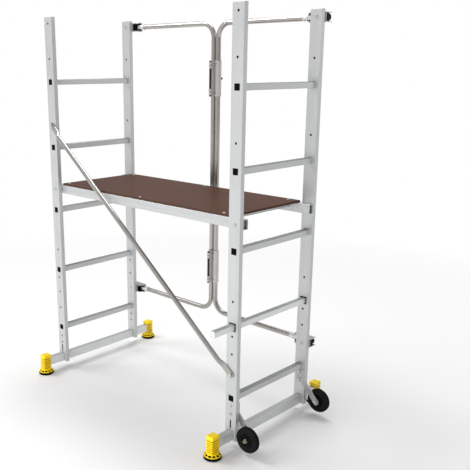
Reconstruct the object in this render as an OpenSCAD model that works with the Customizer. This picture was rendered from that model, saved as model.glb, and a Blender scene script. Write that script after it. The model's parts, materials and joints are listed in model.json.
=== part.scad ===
// Mobile tower scaffold: two ladder frames, a deck, a folding guard rail and a brace.
// X runs from the plain frame to the wheeled frame, Y from front to back, Z up.
// The origin is the middle of the footprint, on the floor.

/* [Frames] */
// Height from one rung to the next
rung_pitch = 300; // [240:5:330]
// Height of the lowest rung's centre above the floor
first_rung_z = 218; // [205:1:300]
// Height of a stile above its top rung's centre
stile_above = 286; // [275:1:400]
// Width of a stile across its wide face
stile_w = 55; // [50:1:70]
// Thickness of a stile from front to back
stile_t = 20; // [16:0.5:30]
// Wall of a stile
stile_wall = 2; // [1.5:0.1:3]
// Depth of a frame over both stiles
frame_depth = 483; // [380:1:700]
// Distance from one frame to the other
frame_pitch = 1131; // [1000:1:1700]
// Side of a square rung
rung_side = 25; // [20:0.5:28]
// Wall of a rung
rung_wall = 1.8; // [1.2:0.1:2.5]
// Radius of the spare holes in the stiles
hole_r = 4.5; // [4.3:0.1:5]
// Height of a fixing hole above the rung below it
hole_rise = 102.5; // [80:0.5:120]

/* [Platform] */
// Thickness of the deck board
deck_t = 9; // [6:0.5:18]
// Height of a platform rail
rail_h = 39; // [34:1:60]
// Width of a platform rail
rail_w = 25.4; // [22:0.1:40]
// Play between a platform rail and the stile beside it
rail_play = 0.6; // [0.4:0.1:1.5]
// Gap from each frame to the end of the board
deck_end_gap = 8; // [5:1:40]

/* [Guard rail] */
// Outside diameter of the guard tube
guard_od = 23; // [20:0.5:26]
// Wall of the guard tube
guard_wall = 1.5; // [1:0.1:2.5]
// Bend radius of the guard tube on its centre line
guard_bend = 65; // [45:1:100]
// Distance of the guard tube's centre behind the rear stiles
guard_back = 28; // [25:0.5:40]
// Gap between the two middle tubes
guard_gap = 4; // [3.4:0.2:8]
// Distance of the folding axis in front of the guard tubes
fold_axis = 38; // [34:1:50]
// Height of the guard's top tube above the top rung
guard_top_rise = 257; // [200:1:262]
// Height of a folding hinge
hinge_h = 158; // [120:2:200]
// Height of the upper folding hinge above the second rung from the top
upper_hinge_rise = 316.5; // [200:0.5:330]
// Height of the lower folding hinge above the second rung
lower_hinge_rise = 31; // [0:1:60]
// Distance of an end pivot from the stile's outer face
pivot_in = 80; // [70:1:100]

/* [Brace] */
// Outside diameter of the brace tube
brace_od = 20; // [16:0.5:22]
// Thickness of a flattened brace end
brace_flat = 5; // [4:0.5:6]

/* [Step bar] */
// How far the step bar sticks out at the front
bar_out = 115; // [60:1:150]
// Play on each side of the step bar in its bushes
bar_play = 0.4; // [0.3:0.1:0.8]

/* [Base] */
// Width of a base beam
beam_w = 25; // [20:1:32]
// Height of a base beam
beam_h = 40; // [34:1:40]
// Height of a base beam's underside above the floor
beam_z = 39; // [34:1:41]
// Distance of a foot's centre beyond the stiles
foot_out = 104; // [80:1:260]
// Radius of a rubber foot
foot_r = 36; // [28:1:40]

/* [Wheels] */
// Wheel diameter
wheel_d = 105; // [90:1:110]
// Tyre width
wheel_w = 22; // [16:1:24]
// Distance of the axle beyond the frame's outer face
wheel_out = 64; // [60:1:90]
// Height of the wheels above the floor
wheel_lift = 19; // [5:1:25]

/* [Hidden] */
$fn = 48;

// Colours
c_alu = [0.83, 0.84, 0.85];
c_tube = [0.66, 0.64, 0.62];
c_grey = [0.55, 0.56, 0.57];
c_steel = [0.72, 0.72, 0.71];
c_black = [0.05, 0.05, 0.05];
c_yellow = [0.93, 0.75, 0.05];
c_deck = [0.25, 0.14, 0.11];
c_cap = [0.75, 0.75, 0.75];

// General
eps = 0.01;
fit = 0.1;
mid_x = stile_w / 2;
top_z = first_rung_z + 4 * rung_pitch + stile_above;
stile_foot = 35;
guard_y = frame_depth + guard_back;
guard_top = first_rung_z + 4 * rung_pitch + guard_top_rise;
guard_low = first_rung_z + hole_rise;
deck_bolt_z = first_rung_z + 2 * rung_pitch + hole_rise;
brace_top = first_rung_z + 3 * rung_pitch + hole_rise;
brace_low = guard_low;
right_x = frame_pitch;
half_x = (frame_pitch + stile_w) / 2;
half_len = half_x - pivot_in;
tube_off = (guard_od + guard_gap) / 2;
bracket_over = 4;
wheel_r = wheel_d / 2;
axle_z = wheel_r + wheel_lift;
axle_x = frame_pitch + stile_w + wheel_out;
x_low = min(mid_x - foot_r, -bracket_over);
shift_x = -(axle_x + wheel_r + x_low) / 2;
shift_y = -frame_depth / 2;

// Stile details
cap_t = 2.5;
notch_play = 0.5;
slot_top = 121;
slot_low = 90;
slot_r = 3;
plain_holes = [172, 137];
arm_holes = [188, 151];
bush_wall = 3.4;
bush_rim = 2;
bush_side = rung_side + 2 * (bar_play + bush_wall);
collar_t = 2.5;
collar_over = 2.5;

// Bolts
bolt_r = 4;
head_r = 7;
head_t = 4.5;

// Base details
beam_wall = 2;
block_l = 42;
block_w = 36;
block_top = 98;
flange_r = 31;
flange_t = 4;
sole_t = 12;
socket_play = 0.2;

// Wheel arms
arm_t = 4;
arm_w = 30;
axle_r = 6;
axle_out = 14;
shoulder_r = 9;
wheel_gap = 0.4;

// Guard pivots
fork_arm = 7.8;
fork_in = 8;
fork_r = 14.5;
plate_t = 3;
tongue_t = 15.2;
tongue_r = 11;
pin_r = 4;
pin_play = 0.05;
collar_gap = 2;
end_collar_l = 23;
liner_half = 13;
liner_out = 1;
head_in = 6;

// Folding hinges
upper_hinge_z = first_rung_z + 3 * rung_pitch + upper_hinge_rise;
lower_hinge_z = first_rung_z + rung_pitch + lower_hinge_rise;
hinge_zs = [upper_hinge_z, lower_hinge_z];
leaf_gap = 0.3;
leaf_t = 3;
sleeve_r = guard_od / 2 + 3.5;
rod_r = 4.4;
eye_r = 6.2;
eye_l = 12;
flange_back = 28;
leaf_bolt_in = 14;
button_y = 22;
button_r = 2.4;
latch_r = 3;

// Puts the frame's own corner at its place around the origin
module place() {
    translate([shift_x, shift_y, 0]) children();
}

// A bore or a round bar along Y
module bar_y(r, y0, y1) {
    translate([0, y0, 0]) rotate([-90, 0, 0]) cylinder(r = r, h = y1 - y0);
}

// A round bar along X
module bar_x(r, x0, x1) {
    translate([x0, 0, 0]) rotate([0, 90, 0]) cylinder(r = r, h = x1 - x0);
}

// A hexagon head along Y
module hex_y(r, y0, y1) {
    translate([0, y0, 0]) rotate([-90, 0, 0]) cylinder(r = r, h = y1 - y0, $fn = 6);
}

// Mirrors what is at the front of a frame to its back
module at_back() {
    translate([0, frame_depth, 0]) mirror([0, 1, 0]) children();
}

// Both ends of a frame
module both_ends() {
    children();
    at_back() children();
}

// ---- Frames ----

// A hollow stile at the front: rungs is the list of rung numbers that pass through
module stile(rungs, bar, holes, slots) {
    difference() {
        translate([0, 0, stile_foot]) cube([stile_w, stile_t, top_z - cap_t - stile_foot]);
        translate([stile_wall, stile_wall, stile_foot - 1])
            cube([stile_w - 2 * stile_wall, stile_t - 2 * stile_wall, top_z]);
        translate([mid_x - beam_w / 2 - notch_play, -1, stile_foot - 1])
            cube([beam_w + 2 * notch_play, stile_t + 2, beam_z + beam_h + notch_play - stile_foot + 1]);
        for (i = rungs)
            translate([mid_x - rung_side / 2 - fit, -1, first_rung_z + i * rung_pitch - rung_side / 2 - fit])
                cube([rung_side + 2 * fit, stile_t + 2, rung_side + 2 * fit]);
        for (i = bar)
            translate([mid_x - bush_side / 2 - fit, -1, first_rung_z + i * rung_pitch - bush_side / 2 - fit])
                cube([bush_side + 2 * fit, stile_t + 2, bush_side + 2 * fit]);
        for (z = holes)
            translate([mid_x, 0, z]) bar_y(hole_r, -1, stile_t + 1);
        if (slots) {
            translate([mid_x - slot_r, -1, slot_low]) cube([2 * slot_r, stile_wall + 2, slot_top - slot_low]);
            for (z = [slot_low, slot_top])
                translate([mid_x, 0, z]) bar_y(slot_r, -1, stile_wall + 1);
        }
        translate([0, stile_t / 2, beam_z + beam_h / 2]) bar_x(bolt_r + fit, -1, stile_w + 1);
    }
}

common_holes = [for (i = [0 : 4]) first_rung_z + i * rung_pitch + hole_rise];
extra_holes = [guard_top, first_rung_z + 187, first_rung_z + 260.5];

module left_front_stile() {
    color(c_alu) place() stile([0 : 4], [], concat(common_holes, extra_holes, plain_holes), true);
}

module left_rear_stile() {
    color(c_alu) place() at_back() stile([0 : 4], [], concat(common_holes, extra_holes, plain_holes), true);
}

module right_front_stile() {
    color(c_alu) place() translate([right_x, 0, 0])
        stile([0, 2, 3, 4], [1], concat(common_holes, extra_holes, arm_holes), true);
}

module right_rear_stile() {
    color(c_alu) place() translate([right_x, 0, 0]) at_back()
        stile([0, 2, 3, 4], [1], concat(common_holes, extra_holes, arm_holes), true);
}

plug_head = 1.5;

// A square rung from stile to stile, with a pressed collar inside each stile
module rung(x, i) {
    translate([x + mid_x, 0, first_rung_z + i * rung_pitch]) difference() {
        union() {
            translate([-rung_side / 2, plug_head, -rung_side / 2])
                cube([rung_side, frame_depth - 2 * plug_head, rung_side]);
            for (y = [stile_t, frame_depth - stile_t - collar_t])
                translate([-rung_side / 2 - collar_over, y, -rung_side / 2 - collar_over])
                    cube([rung_side + 2 * collar_over, collar_t, rung_side + 2 * collar_over]);
        }
        translate([-rung_side / 2 + rung_wall, 0, -rung_side / 2 + rung_wall])
            cube([rung_side - 2 * rung_wall, frame_depth, rung_side - 2 * rung_wall]);
    }
}

module left_rung_1() {
    color(c_alu) place() rung(0, 0);
}

module left_rung_2() {
    color(c_alu) place() rung(0, 1);
}

module left_rung_3() {
    color(c_alu) place() rung(0, 2);
}

module left_rung_4() {
    color(c_alu) place() rung(0, 3);
}

module left_rung_5() {
    color(c_alu) place() rung(0, 4);
}

module right_rung_1() {
    color(c_alu) place() rung(right_x, 0);
}

module right_rung_3() {
    color(c_alu) place() rung(right_x, 2);
}

module right_rung_4() {
    color(c_alu) place() rung(right_x, 3);
}

module right_rung_5() {
    color(c_alu) place() rung(right_x, 4);
}

// A square plug that closes a rung's end
module rung_plug(x, i) {
    body = rung_side - 2 * rung_wall - 2 * fit;
    translate([x + mid_x, 0, first_rung_z + i * rung_pitch]) both_ends() {
        translate([-rung_side / 2, 0, -rung_side / 2]) cube([rung_side, plug_head, rung_side]);
        translate([-body / 2, plug_head - eps, -body / 2]) cube([body, 12, body]);
    }
}

module left_rung_plugs() {
    color(c_black) place() for (i = [0 : 4]) rung_plug(0, i);
}

module right_rung_plugs() {
    color(c_black) place() for (i = [0, 2, 3, 4]) rung_plug(right_x, i);
}

// A plastic cap on a stile's top
module stile_cap(x) {
    translate([x, 0, top_z - cap_t]) both_ends() {
        cube([stile_w, stile_t, cap_t]);
        translate([stile_wall + fit, stile_wall + fit, -14])
            cube([stile_w - 2 * stile_wall - 2 * fit, stile_t - 2 * stile_wall - 2 * fit, 14 + eps]);
    }
}

module left_stile_caps() {
    color(c_cap) place() stile_cap(0);
}

module right_stile_caps() {
    color(c_cap) place() stile_cap(right_x);
}

// ---- Base ----

// A hollow beam under a frame, from foot to foot
module base_beam(x) {
    reach = foot_out + 6;
    translate([x + mid_x, 0, beam_z]) difference() {
        translate([-beam_w / 2, -reach, 0]) cube([beam_w, frame_depth + 2 * reach, beam_h]);
        translate([-beam_w / 2 + beam_wall, -reach - 1, beam_wall])
            cube([beam_w - 2 * beam_wall, frame_depth + 2 * reach + 2, beam_h - 2 * beam_wall]);
        both_ends() translate([0, stile_t / 2, beam_h / 2]) bar_x(bolt_r + fit, -beam_w, beam_w);
    }
}

module left_base_beam() {
    color(c_alu) place() base_beam(0);
}

module right_base_beam() {
    color(c_alu) place() base_beam(right_x);
}

// A plastic block over the beam's end, on a round flange
module foot(x) {
    translate([x + mid_x, 0, 0]) both_ends() translate([0, -foot_out, 0]) difference() {
        union() {
            translate([-block_w / 2, -block_l / 2, sole_t + flange_t])
                cube([block_w, block_l, block_top - sole_t - flange_t]);
            translate([0, 0, sole_t]) cylinder(r = flange_r, h = flange_t);
        }
        translate([-beam_w / 2 - socket_play, -6 - socket_play, beam_z - socket_play])
            cube([beam_w + 2 * socket_play, block_l, beam_h + 2 * socket_play]);
        for (s = [-1, 1])
            translate([s * (block_w / 2) - 2, -block_l / 2 + 6, block_top - 16]) cube([4, 10, 10]);
        translate([-9, -block_l / 2 - 1, beam_z + 6]) cube([18, 4, beam_h - 12]);
        for (a = [0 : 45 : 315])
            rotate([0, 0, a + 22.5]) translate([flange_r - 5, 0, sole_t - 1])
                cylinder(r = 2.2, h = flange_t + 2, $fn = 24);
    }
}

module left_feet() {
    color(c_yellow) place() foot(0);
}

module right_feet() {
    color(c_yellow) place() foot(right_x);
}

// A rubber sole with a chamfered rim
module foot_sole(x) {
    translate([x + mid_x, 0, 0]) both_ends() translate([0, -foot_out, 0])
        rotate_extrude()
            polygon([[0, 0], [foot_r - 2, 0], [foot_r, 2], [foot_r, sole_t - 3], [foot_r - 3, sole_t], [0, sole_t]]);
}

module left_foot_soles() {
    color(c_black) place() foot_sole(0);
}

module right_foot_soles() {
    color(c_black) place() foot_sole(right_x);
}

// ---- Bolts in the frames ----

// A bolt along Y through a front stile, head at the front and nut behind what it holds
module bolt_y(z, y1) {
    translate([mid_x, 0, z]) {
        hex_y(head_r, -head_t, 0);
        bar_y(bolt_r, -eps, y1 + eps);
        hex_y(head_r, y1, y1 + head_t);
    }
}

// A bolt along X through a stile's legs and the beam
module beam_bolt() {
    translate([0, stile_t / 2, beam_z + beam_h / 2]) {
        bar_x(bolt_r, -eps, stile_w + eps);
        translate([-head_t, 0, 0]) rotate([0, 90, 0]) cylinder(r = head_r, h = head_t, $fn = 6);
        translate([stile_w, 0, 0]) rotate([0, 90, 0]) cylinder(r = head_r, h = head_t, $fn = 6);
    }
}

// The bolts that hold the guard brackets on a rear stile
module bracket_bolts() {
    for (z = [guard_low, guard_top])
        translate([mid_x, 0, z]) {
            hex_y(head_r, frame_depth - stile_t - head_t, frame_depth - stile_t);
            bar_y(bolt_r, frame_depth - stile_t - eps, frame_depth + plate_t + eps);
            bar_y(head_r, frame_depth + plate_t, frame_depth + plate_t + head_t);
        }
}

module left_frame_bolts() {
    color(c_steel) place() {
        both_ends() beam_bolt();
        bracket_bolts();
    }
}

module right_frame_bolts() {
    color(c_steel) place() translate([right_x, 0, 0]) {
        both_ends() {
            beam_bolt();
            for (z = arm_holes) bolt_y(z, stile_t + arm_t);
        }
        bracket_bolts();
    }
}

groove_r = bolt_r + 0.6;
tee_t = 5;
tee_r = 7.4;
groove_lip = 2.4;

// A deck bolt: head outside the stile, tee head inside the rail's groove
module deck_bolt() {
    tee_y = stile_t + rail_play + groove_lip + 0.6;
    both_ends() translate([mid_x, 0, deck_bolt_z]) {
        bar_y(head_r, -head_t, 0);
        bar_y(bolt_r, -eps, tee_y + eps);
        bar_y(tee_r, tee_y, tee_y + tee_t);
    }
}

module left_deck_bolts() {
    color(c_steel) place() deck_bolt();
}

module right_deck_bolts() {
    color(c_steel) place() translate([right_x, 0, 0]) deck_bolt();
}

// ---- Step bar ----

bar_z = first_rung_z + rung_pitch;

module step_bar_bushes() {
    hole = rung_side + 2 * bar_play;
    rim = bush_side + 2 * bush_rim;
    color(c_black) place() translate([right_x + mid_x, 0, bar_z]) both_ends() difference() {
        union() {
            translate([-bush_side / 2, 0, -bush_side / 2]) cube([bush_side, stile_t, bush_side]);
            translate([-rim / 2, -bush_rim, -rim / 2]) cube([rim, bush_rim, rim]);
        }
        translate([-hole / 2, -bush_rim - 1, -hole / 2]) cube([hole, stile_t + bush_rim + 2, hole]);
    }
}

bar_back = 3;

// A square tube with a closed front end
module step_bar() {
    inner = rung_side - 2 * rung_wall;
    color(c_alu) place() translate([right_x + mid_x, 0, bar_z]) difference() {
        translate([-rung_side / 2, -bar_out, -rung_side / 2])
            cube([rung_side, frame_depth + bar_out + bar_back, rung_side]);
        translate([-inner / 2, -bar_out + rung_wall, -inner / 2])
            cube([inner, frame_depth + bar_out + bar_back, inner]);
    }
}

// ---- Wheels ----

arm_x = stile_w - 12;
arm_inset = 9;
arm_over = 14;
hub_r = 33;

// A bent steel plate from the stile's inner face to the axle
module wheel_arm() {
    run = axle_x - frame_pitch - arm_x;
    drop = arm_holes[1] - axle_z;
    reach = sqrt(run * run + drop * drop);
    translate([0, stile_t + arm_t, 0]) rotate([90, 0, 0]) linear_extrude(arm_t) difference() {
        union() {
            translate([arm_inset, arm_holes[1] - arm_over])
                square([stile_w - arm_inset, arm_holes[0] - arm_holes[1] + 2 * arm_over]);
            translate([arm_x, arm_holes[1]]) rotate(-atan2(drop, run))
                translate([0, 1 - arm_w / 2]) square([reach, arm_w - 2]);
            translate([arm_x + run, axle_z]) circle(r = arm_w / 2);
        }
        for (z = arm_holes) translate([mid_x, z]) circle(r = bolt_r + fit);
        translate([arm_x + run, axle_z]) circle(r = axle_r + fit);
    }
}

module wheel_arms() {
    color(c_grey) place() translate([right_x, 0, 0]) both_ends() wheel_arm();
}

// An axle with a shoulder against the arm, and the nut that keeps the wheel on
module axle() {
    translate([axle_x, 0, axle_z]) {
        bar_y(axle_r, -wheel_w / 2 - axle_out, stile_t + arm_t + 3);
        bar_y(shoulder_r, wheel_w / 2 + wheel_gap, stile_t);
        hex_y(axle_r + 4, stile_t + arm_t, stile_t + arm_t + 6);
        hex_y(shoulder_r, -wheel_w / 2 - axle_out / 2, -wheel_w / 2 - wheel_gap);
    }
}

module wheel_axles() {
    color(c_steel) place() both_ends() axle();
}

// A rubber tyre with a rounded tread, axis along Y
module tyre() {
    edge = 5;
    rotate([90, 0, 0]) rotate_extrude($fn = 96) difference() {
        union() {
            translate([hub_r + fit, -wheel_w / 2]) square([wheel_r - edge - hub_r - fit, wheel_w]);
            translate([wheel_r - edge, -wheel_w / 2 + edge]) square([edge, wheel_w - 2 * edge]);
            for (s = [-1, 1])
                translate([wheel_r - edge, s * (wheel_w / 2 - edge)]) circle(r = edge);
        }
        translate([hub_r - edge, -wheel_w]) square([edge + fit, 2 * wheel_w]);
    }
}

// A plastic hub with a recess each side, and a bore for the axle
module hub() {
    rotate([90, 0, 0]) difference() {
        translate([0, 0, -wheel_w / 2 + 1]) cylinder(r = hub_r, h = wheel_w - 2, $fn = 96);
        translate([0, 0, -wheel_w]) cylinder(r = axle_r + pin_play, h = 2 * wheel_w);
        for (s = [-1, 1])
            translate([0, 0, s * (wheel_w / 2 - 1) - 3]) difference() {
                cylinder(r = hub_r - 5, h = 6, $fn = 96);
                translate([0, 0, -1]) cylinder(r = 12, h = 8);
            }
    }
}

module front_tyre() {
    color(c_black) place() translate([axle_x, 0, axle_z]) tyre();
}

module front_hub() {
    color(c_black) place() translate([axle_x, 0, axle_z]) hub();
}

module rear_tyre() {
    color(c_black) place() translate([axle_x, frame_depth, axle_z]) tyre();
}

module rear_hub() {
    color(c_black) place() translate([axle_x, frame_depth, axle_z]) hub();
}

// ---- Brace ----

brace_run = frame_pitch;
brace_rise = brace_top - brace_low;
brace_len = sqrt(brace_run * brace_run + brace_rise * brace_rise);
brace_gap = 1.5;
brace_y = -brace_gap - brace_flat / 2;
tube_y = -brace_gap - brace_od / 2 - 1;
flat_w = 26;
flat_l = 46;
blend_l = 34;
tube_in = flat_l + blend_l;
brace_wall = 1.5;
hook_r = 5.5;

// A flattened tube end: an eye, a flat and a taper into the round tube
module brace_end() {
    y_out = brace_y - brace_flat / 2;
    y_in = brace_y + brace_flat / 2;
    side = brace_od / 2 - 1.2;
    bar_y(flat_w / 2 + 0.5, y_out, y_in);
    translate([0, y_out, -flat_w / 2]) cube([flat_l, brace_flat, flat_w]);
    intersection() {
        translate([0, 0, -flat_w / 2]) linear_extrude(flat_w)
            polygon([[flat_l - 1, y_in], [flat_l, y_in], [tube_in + 6, tube_y + side], [tube_in + 6, tube_y - side],
                [tube_in - 6, tube_y - side], [flat_l - 1, y_out]]);
        rotate([90, 0, 0]) linear_extrude(2 * brace_od)
            polygon([[flat_l - 1, -flat_w / 2], [tube_in + 6, -side], [tube_in + 6, side], [flat_l - 1, flat_w / 2]]);
    }
}

// A tube with flattened ends; the far end is a hook that opens along local +Z
module brace() {
    color(c_tube) place() translate([right_x + mid_x, 0, brace_low])
        rotate([0, 180 + atan2(brace_rise, brace_run), 0]) difference() {
            union() {
                translate([0, tube_y, 0]) bar_x(brace_od / 2, tube_in, brace_len - tube_in);
                for (e = [0, 1])
                    translate([e * brace_len, 0, 0]) mirror([e, 0, 0]) brace_end();
            }
            translate([0, tube_y, 0]) bar_x(brace_od / 2 - brace_wall, tube_in, brace_len - tube_in);
            bar_y(bolt_r + pin_play, brace_y - brace_flat, brace_y + brace_flat);
            translate([brace_len, 0, 0]) bar_y(hook_r, brace_y - brace_flat, brace_y + brace_flat);
            translate([brace_len - hook_r, brace_y - brace_flat, 0]) cube([2 * hook_r, 2 * brace_flat, flat_w]);
        }
}

module brace_pivot_bolt() {
    face = brace_y - brace_flat / 2;
    color(c_steel) place() translate([right_x + mid_x, 0, brace_low]) {
        bar_y(bolt_r, face - 0.5, stile_t + 2);
        hex_y(8, face - 0.4 - head_t, face - 0.4);
        bar_y(8, -brace_gap + 0.4, 0);
        hex_y(head_r, stile_t, stile_t + head_t);
    }
}

module brace_stud() {
    face = brace_y - brace_flat / 2;
    color(c_steel) place() translate([mid_x, 0, brace_top]) {
        bar_y(bolt_r, face - 0.9, stile_t + 2);
        bar_y(9, face - 0.8 - 3, face - 0.8);
        bar_y(8, -brace_gap + 0.4, 0);
        hex_y(head_r, stile_t, stile_t + head_t);
    }
}

// ---- Guard rail: all in the left half's place, mirrored for the right half ----

// Mirrors the left half's parts to the right half
module right_half() {
    translate([2 * half_x, 0, 0]) mirror([1, 0, 0]) children();
}

// Both end pivots of one half
module at_pivots() {
    for (z = [guard_low, guard_top])
        translate([pivot_in, guard_y, z]) children();
}

// The metal bracket on a rear stile
module guard_bracket() {
    top = fork_in + fork_arm + fit;
    difference() {
        union() {
            translate([-pivot_in - bracket_over, -guard_back, -top - plate_t])
                cube([pivot_in + bracket_over - fork_r - head_in, plate_t, 2 * (top + plate_t)]);
            for (z = [-top - plate_t, top])
                translate([0, 0, z]) {
                    translate([-pivot_in - bracket_over, -guard_back, 0])
                        cube([pivot_in + bracket_over, guard_back + fork_r, plate_t]);
                    cylinder(r = fork_r, h = plate_t);
                }
        }
        translate([0, 0, -top - plate_t - 1]) cylinder(r = pin_r + pin_play, h = 2 * (top + plate_t) + 2);
        translate([mid_x - pivot_in, -guard_back, 0]) bar_y(bolt_r + fit, -1, plate_t + 1);
        translate([0, -guard_back - 1, -top - plate_t - 1])
            cube([fork_r + 1, guard_back - fork_r + 1, 2 * (top + plate_t) + 2]);
    }
}

// The black liner: a block, round at its outer end, with two arms around the guard tube's tongue
module guard_fork() {
    top = fork_in + fork_arm;
    block_x = tongue_r + 3;
    round_x = pivot_in + liner_out - top;
    difference() {
        union() {
            translate([-round_x, -liner_half, -top]) cube([round_x - block_x, 2 * liner_half, 2 * top]);
            translate([-round_x, 0, 0]) bar_y(top, -liner_half, liner_half);
            for (z = [-top, fork_in])
                translate([0, 0, z]) {
                    translate([-block_x - eps, -liner_half, 0])
                        cube([block_x + eps, 2 * liner_half, fork_arm]);
                    cylinder(r = liner_half, h = fork_arm);
                }
        }
        translate([0, 0, -top - 1]) cylinder(r = pin_r + pin_play, h = 2 * top + 2);
    }
}

// The pivot pin with a head and a lower collar
module guard_pin() {
    top = fork_in + fork_arm + fit + plate_t;
    translate([0, 0, -top - 3]) cylinder(r = pin_r, h = 2 * top + 4);
    translate([0, 0, top + 0.2]) cylinder(r = head_r, h = 3);
    translate([0, 0, -top - 3]) cylinder(r = head_r, h = 2.8);
}

// The tongue and collar that close the guard tube's end
module guard_end() {
    x0 = fork_r + collar_gap;
    difference() {
        union() {
            translate([0, 0, -tongue_t / 2]) cylinder(r = tongue_r, h = tongue_t);
            translate([0, -tongue_r, -tongue_t / 2]) cube([x0 + eps, 2 * tongue_r, tongue_t]);
            bar_x(guard_od / 2 + 2, x0, x0 + end_collar_l);
        }
        bar_x(guard_od / 2 + fit, x0 + 4, x0 + end_collar_l + 1);
        translate([0, 0, -tongue_t]) cylinder(r = pin_r + pin_play, h = 2 * tongue_t);
    }
}

// A straight piece of guard tube along Z
module tube_z(z0, z1) {
    translate([0, 0, z0]) linear_extrude(z1 - z0) difference() {
        circle(d = guard_od);
        circle(d = guard_od - 2 * guard_wall);
    }
}

// A quarter bend from +X into +Z around the origin's corner
module tube_bend() {
    rotate([90, 0, 0]) rotate_extrude(angle = 90) translate([guard_bend, 0]) difference() {
        circle(d = guard_od);
        circle(d = guard_od - 2 * guard_wall);
    }
}

// One half of the guard: a tube bent at the top and at the bottom
module guard_tube() {
    x0 = pivot_in + fork_r + collar_gap + 4 + fit;
    xv = half_x - tube_off;
    xb = xv - guard_bend;
    difference() {
        union() {
            for (z = [guard_low, guard_top])
                translate([x0, guard_y, z]) rotate([0, 90, 0]) tube_z(0, xb - x0);
            translate([xv, guard_y, 0]) tube_z(guard_low + guard_bend, guard_top - guard_bend);
            translate([xb, guard_y, guard_top - guard_bend]) tube_bend();
            translate([xb, guard_y, guard_low + guard_bend]) mirror([0, 0, 1]) tube_bend();
        }
        for (z = hinge_zs, s = [-1, 1])
            translate([xv, guard_y, z + s * (hinge_h / 2 - leaf_bolt_in)]) bar_y(2.5 + fit, -guard_od, guard_od);
    }
}

// An aluminium leaf around the middle tube; own says which eyes it carries
module hinge_leaf(own) {
    eye_z = own ? hinge_h / 2 - 7 : hinge_h / 2 - 10 - eye_l;
    difference() {
        union() {
            translate([-tube_off, 0, -hinge_h / 2]) cylinder(r = sleeve_r, h = hinge_h);
            translate([-leaf_gap - leaf_t, -fold_axis + eye_r + 0.3, -hinge_h / 2])
                cube([leaf_t, fold_axis - eye_r - 0.3 + flange_back, hinge_h]);
            for (s = [0, 1])
                mirror([0, 0, s]) translate([0, -fold_axis, eye_z - eye_l]) {
                    cylinder(r = eye_r, h = eye_l);
                    translate([-leaf_gap - leaf_t, 0, 0]) cube([leaf_t, eye_r + 1, eye_l]);
                }
        }
        translate([-tube_off, 0, -hinge_h]) cylinder(r = guard_od / 2 + fit, h = 2 * hinge_h);
        translate([0, -fold_axis, -hinge_h]) cylinder(r = rod_r + pin_play, h = 2 * hinge_h);
        translate([-leaf_gap, -sleeve_r - 1, -hinge_h]) cube([sleeve_r, 2 * sleeve_r + 2, 2 * hinge_h]);
        for (s = [-1, 1])
            translate([-tube_off, 0, s * (hinge_h / 2 - leaf_bolt_in)]) bar_y(2.5 + fit, -sleeve_r - 1, sleeve_r + 1);
        translate([0, button_y, 0]) bar_x(own ? button_r + pin_play : latch_r, -leaf_gap - leaf_t - 1, 1);
    }
}

// The two bolts that hold a leaf on its tube
module leaf_bolt() {
    for (s = [-1, 1])
        translate([-tube_off, 0, s * (hinge_h / 2 - leaf_bolt_in)]) {
            bar_y(2.5, -sleeve_r - 1, sleeve_r + 1);
            bar_y(4.5, -sleeve_r - 2.5, -sleeve_r);
            bar_y(4.5, sleeve_r, sleeve_r + 2.5);
        }
}

module left_guard_brackets() {
    color(c_grey) place() at_pivots() guard_bracket();
}

module right_guard_brackets() {
    color(c_grey) place() right_half() at_pivots() guard_bracket();
}

module left_guard_forks() {
    color(c_black) place() at_pivots() guard_fork();
}

module right_guard_forks() {
    color(c_black) place() right_half() at_pivots() guard_fork();
}

module left_guard_pins() {
    color(c_steel) place() at_pivots() guard_pin();
}

module right_guard_pins() {
    color(c_steel) place() right_half() at_pivots() guard_pin();
}

module left_guard_ends() {
    color(c_alu) place() at_pivots() guard_end();
}

module right_guard_ends() {
    color(c_alu) place() right_half() at_pivots() guard_end();
}

module left_guard_tube() {
    color(c_tube) place() guard_tube();
}

module right_guard_tube() {
    color(c_tube) place() right_half() guard_tube();
}

// Both folding hinges of the left half
module at_hinges() {
    for (z = hinge_zs)
        translate([half_x, guard_y, z]) children();
}

module left_hinge_leaves() {
    color(c_tube) place() at_hinges() hinge_leaf(false);
}

module right_hinge_leaves() {
    color(c_tube) place() right_half() at_hinges() hinge_leaf(true);
}

module left_leaf_bolts() {
    color(c_steel) place() at_hinges() leaf_bolt();
}

module right_leaf_bolts() {
    color(c_steel) place() right_half() at_hinges() leaf_bolt();
}

module hinge_rods() {
    color(c_black) place() at_hinges() translate([0, -fold_axis, -hinge_h / 2]) cylinder(r = rod_r, h = hinge_h);
}

// The release button on the upper hinge, right half
module hinge_button() {
    color(c_black) place() translate([half_x, guard_y + button_y, upper_hinge_z]) {
        bar_x(button_r, -2.5, 9);
        bar_x(5, 8, 18);
    }
}

// ---- Platform ----

rail_len = frame_pitch + stile_w;
deck_y0 = stile_t + 2;
cross_w = 30;
cross_h = 20;
cross_x = [94, half_x, frame_pitch + stile_w - 115];
cross_wall = 2;
rivet_y = stile_t + rail_play + rail_w - 7;
rivet_r = 2.5;
rivet_head_r = 6;
rivet_head_t = 1.4;
rivet_sunk = 0.1;

// The front rail's section: a tee groove towards the stile and a hollow behind it
module rail_section() {
    wall = 2;
    y_in = groove_lip + 7;
    difference() {
        translate([0, -rail_h / 2]) square([rail_w, rail_h]);
        translate([-1, -groove_r]) square([groove_lip + 1 + eps, 2 * groove_r]);
        translate([groove_lip, -tee_r - 1.1]) square([7, 2 * tee_r + 2.2]);
        translate([y_in + wall, -rail_h / 2 + wall]) square([rail_w - y_in - 2 * wall, rail_h - 2 * wall]);
        for (s = [-1, 1])
            translate([wall, s * (rail_h / 2 - wall) - (s > 0 ? rail_h / 2 - tee_r - 3.1 - wall : 0)])
                square([y_in - wall, rail_h / 2 - tee_r - 3.1 - wall]);
    }
}

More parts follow.
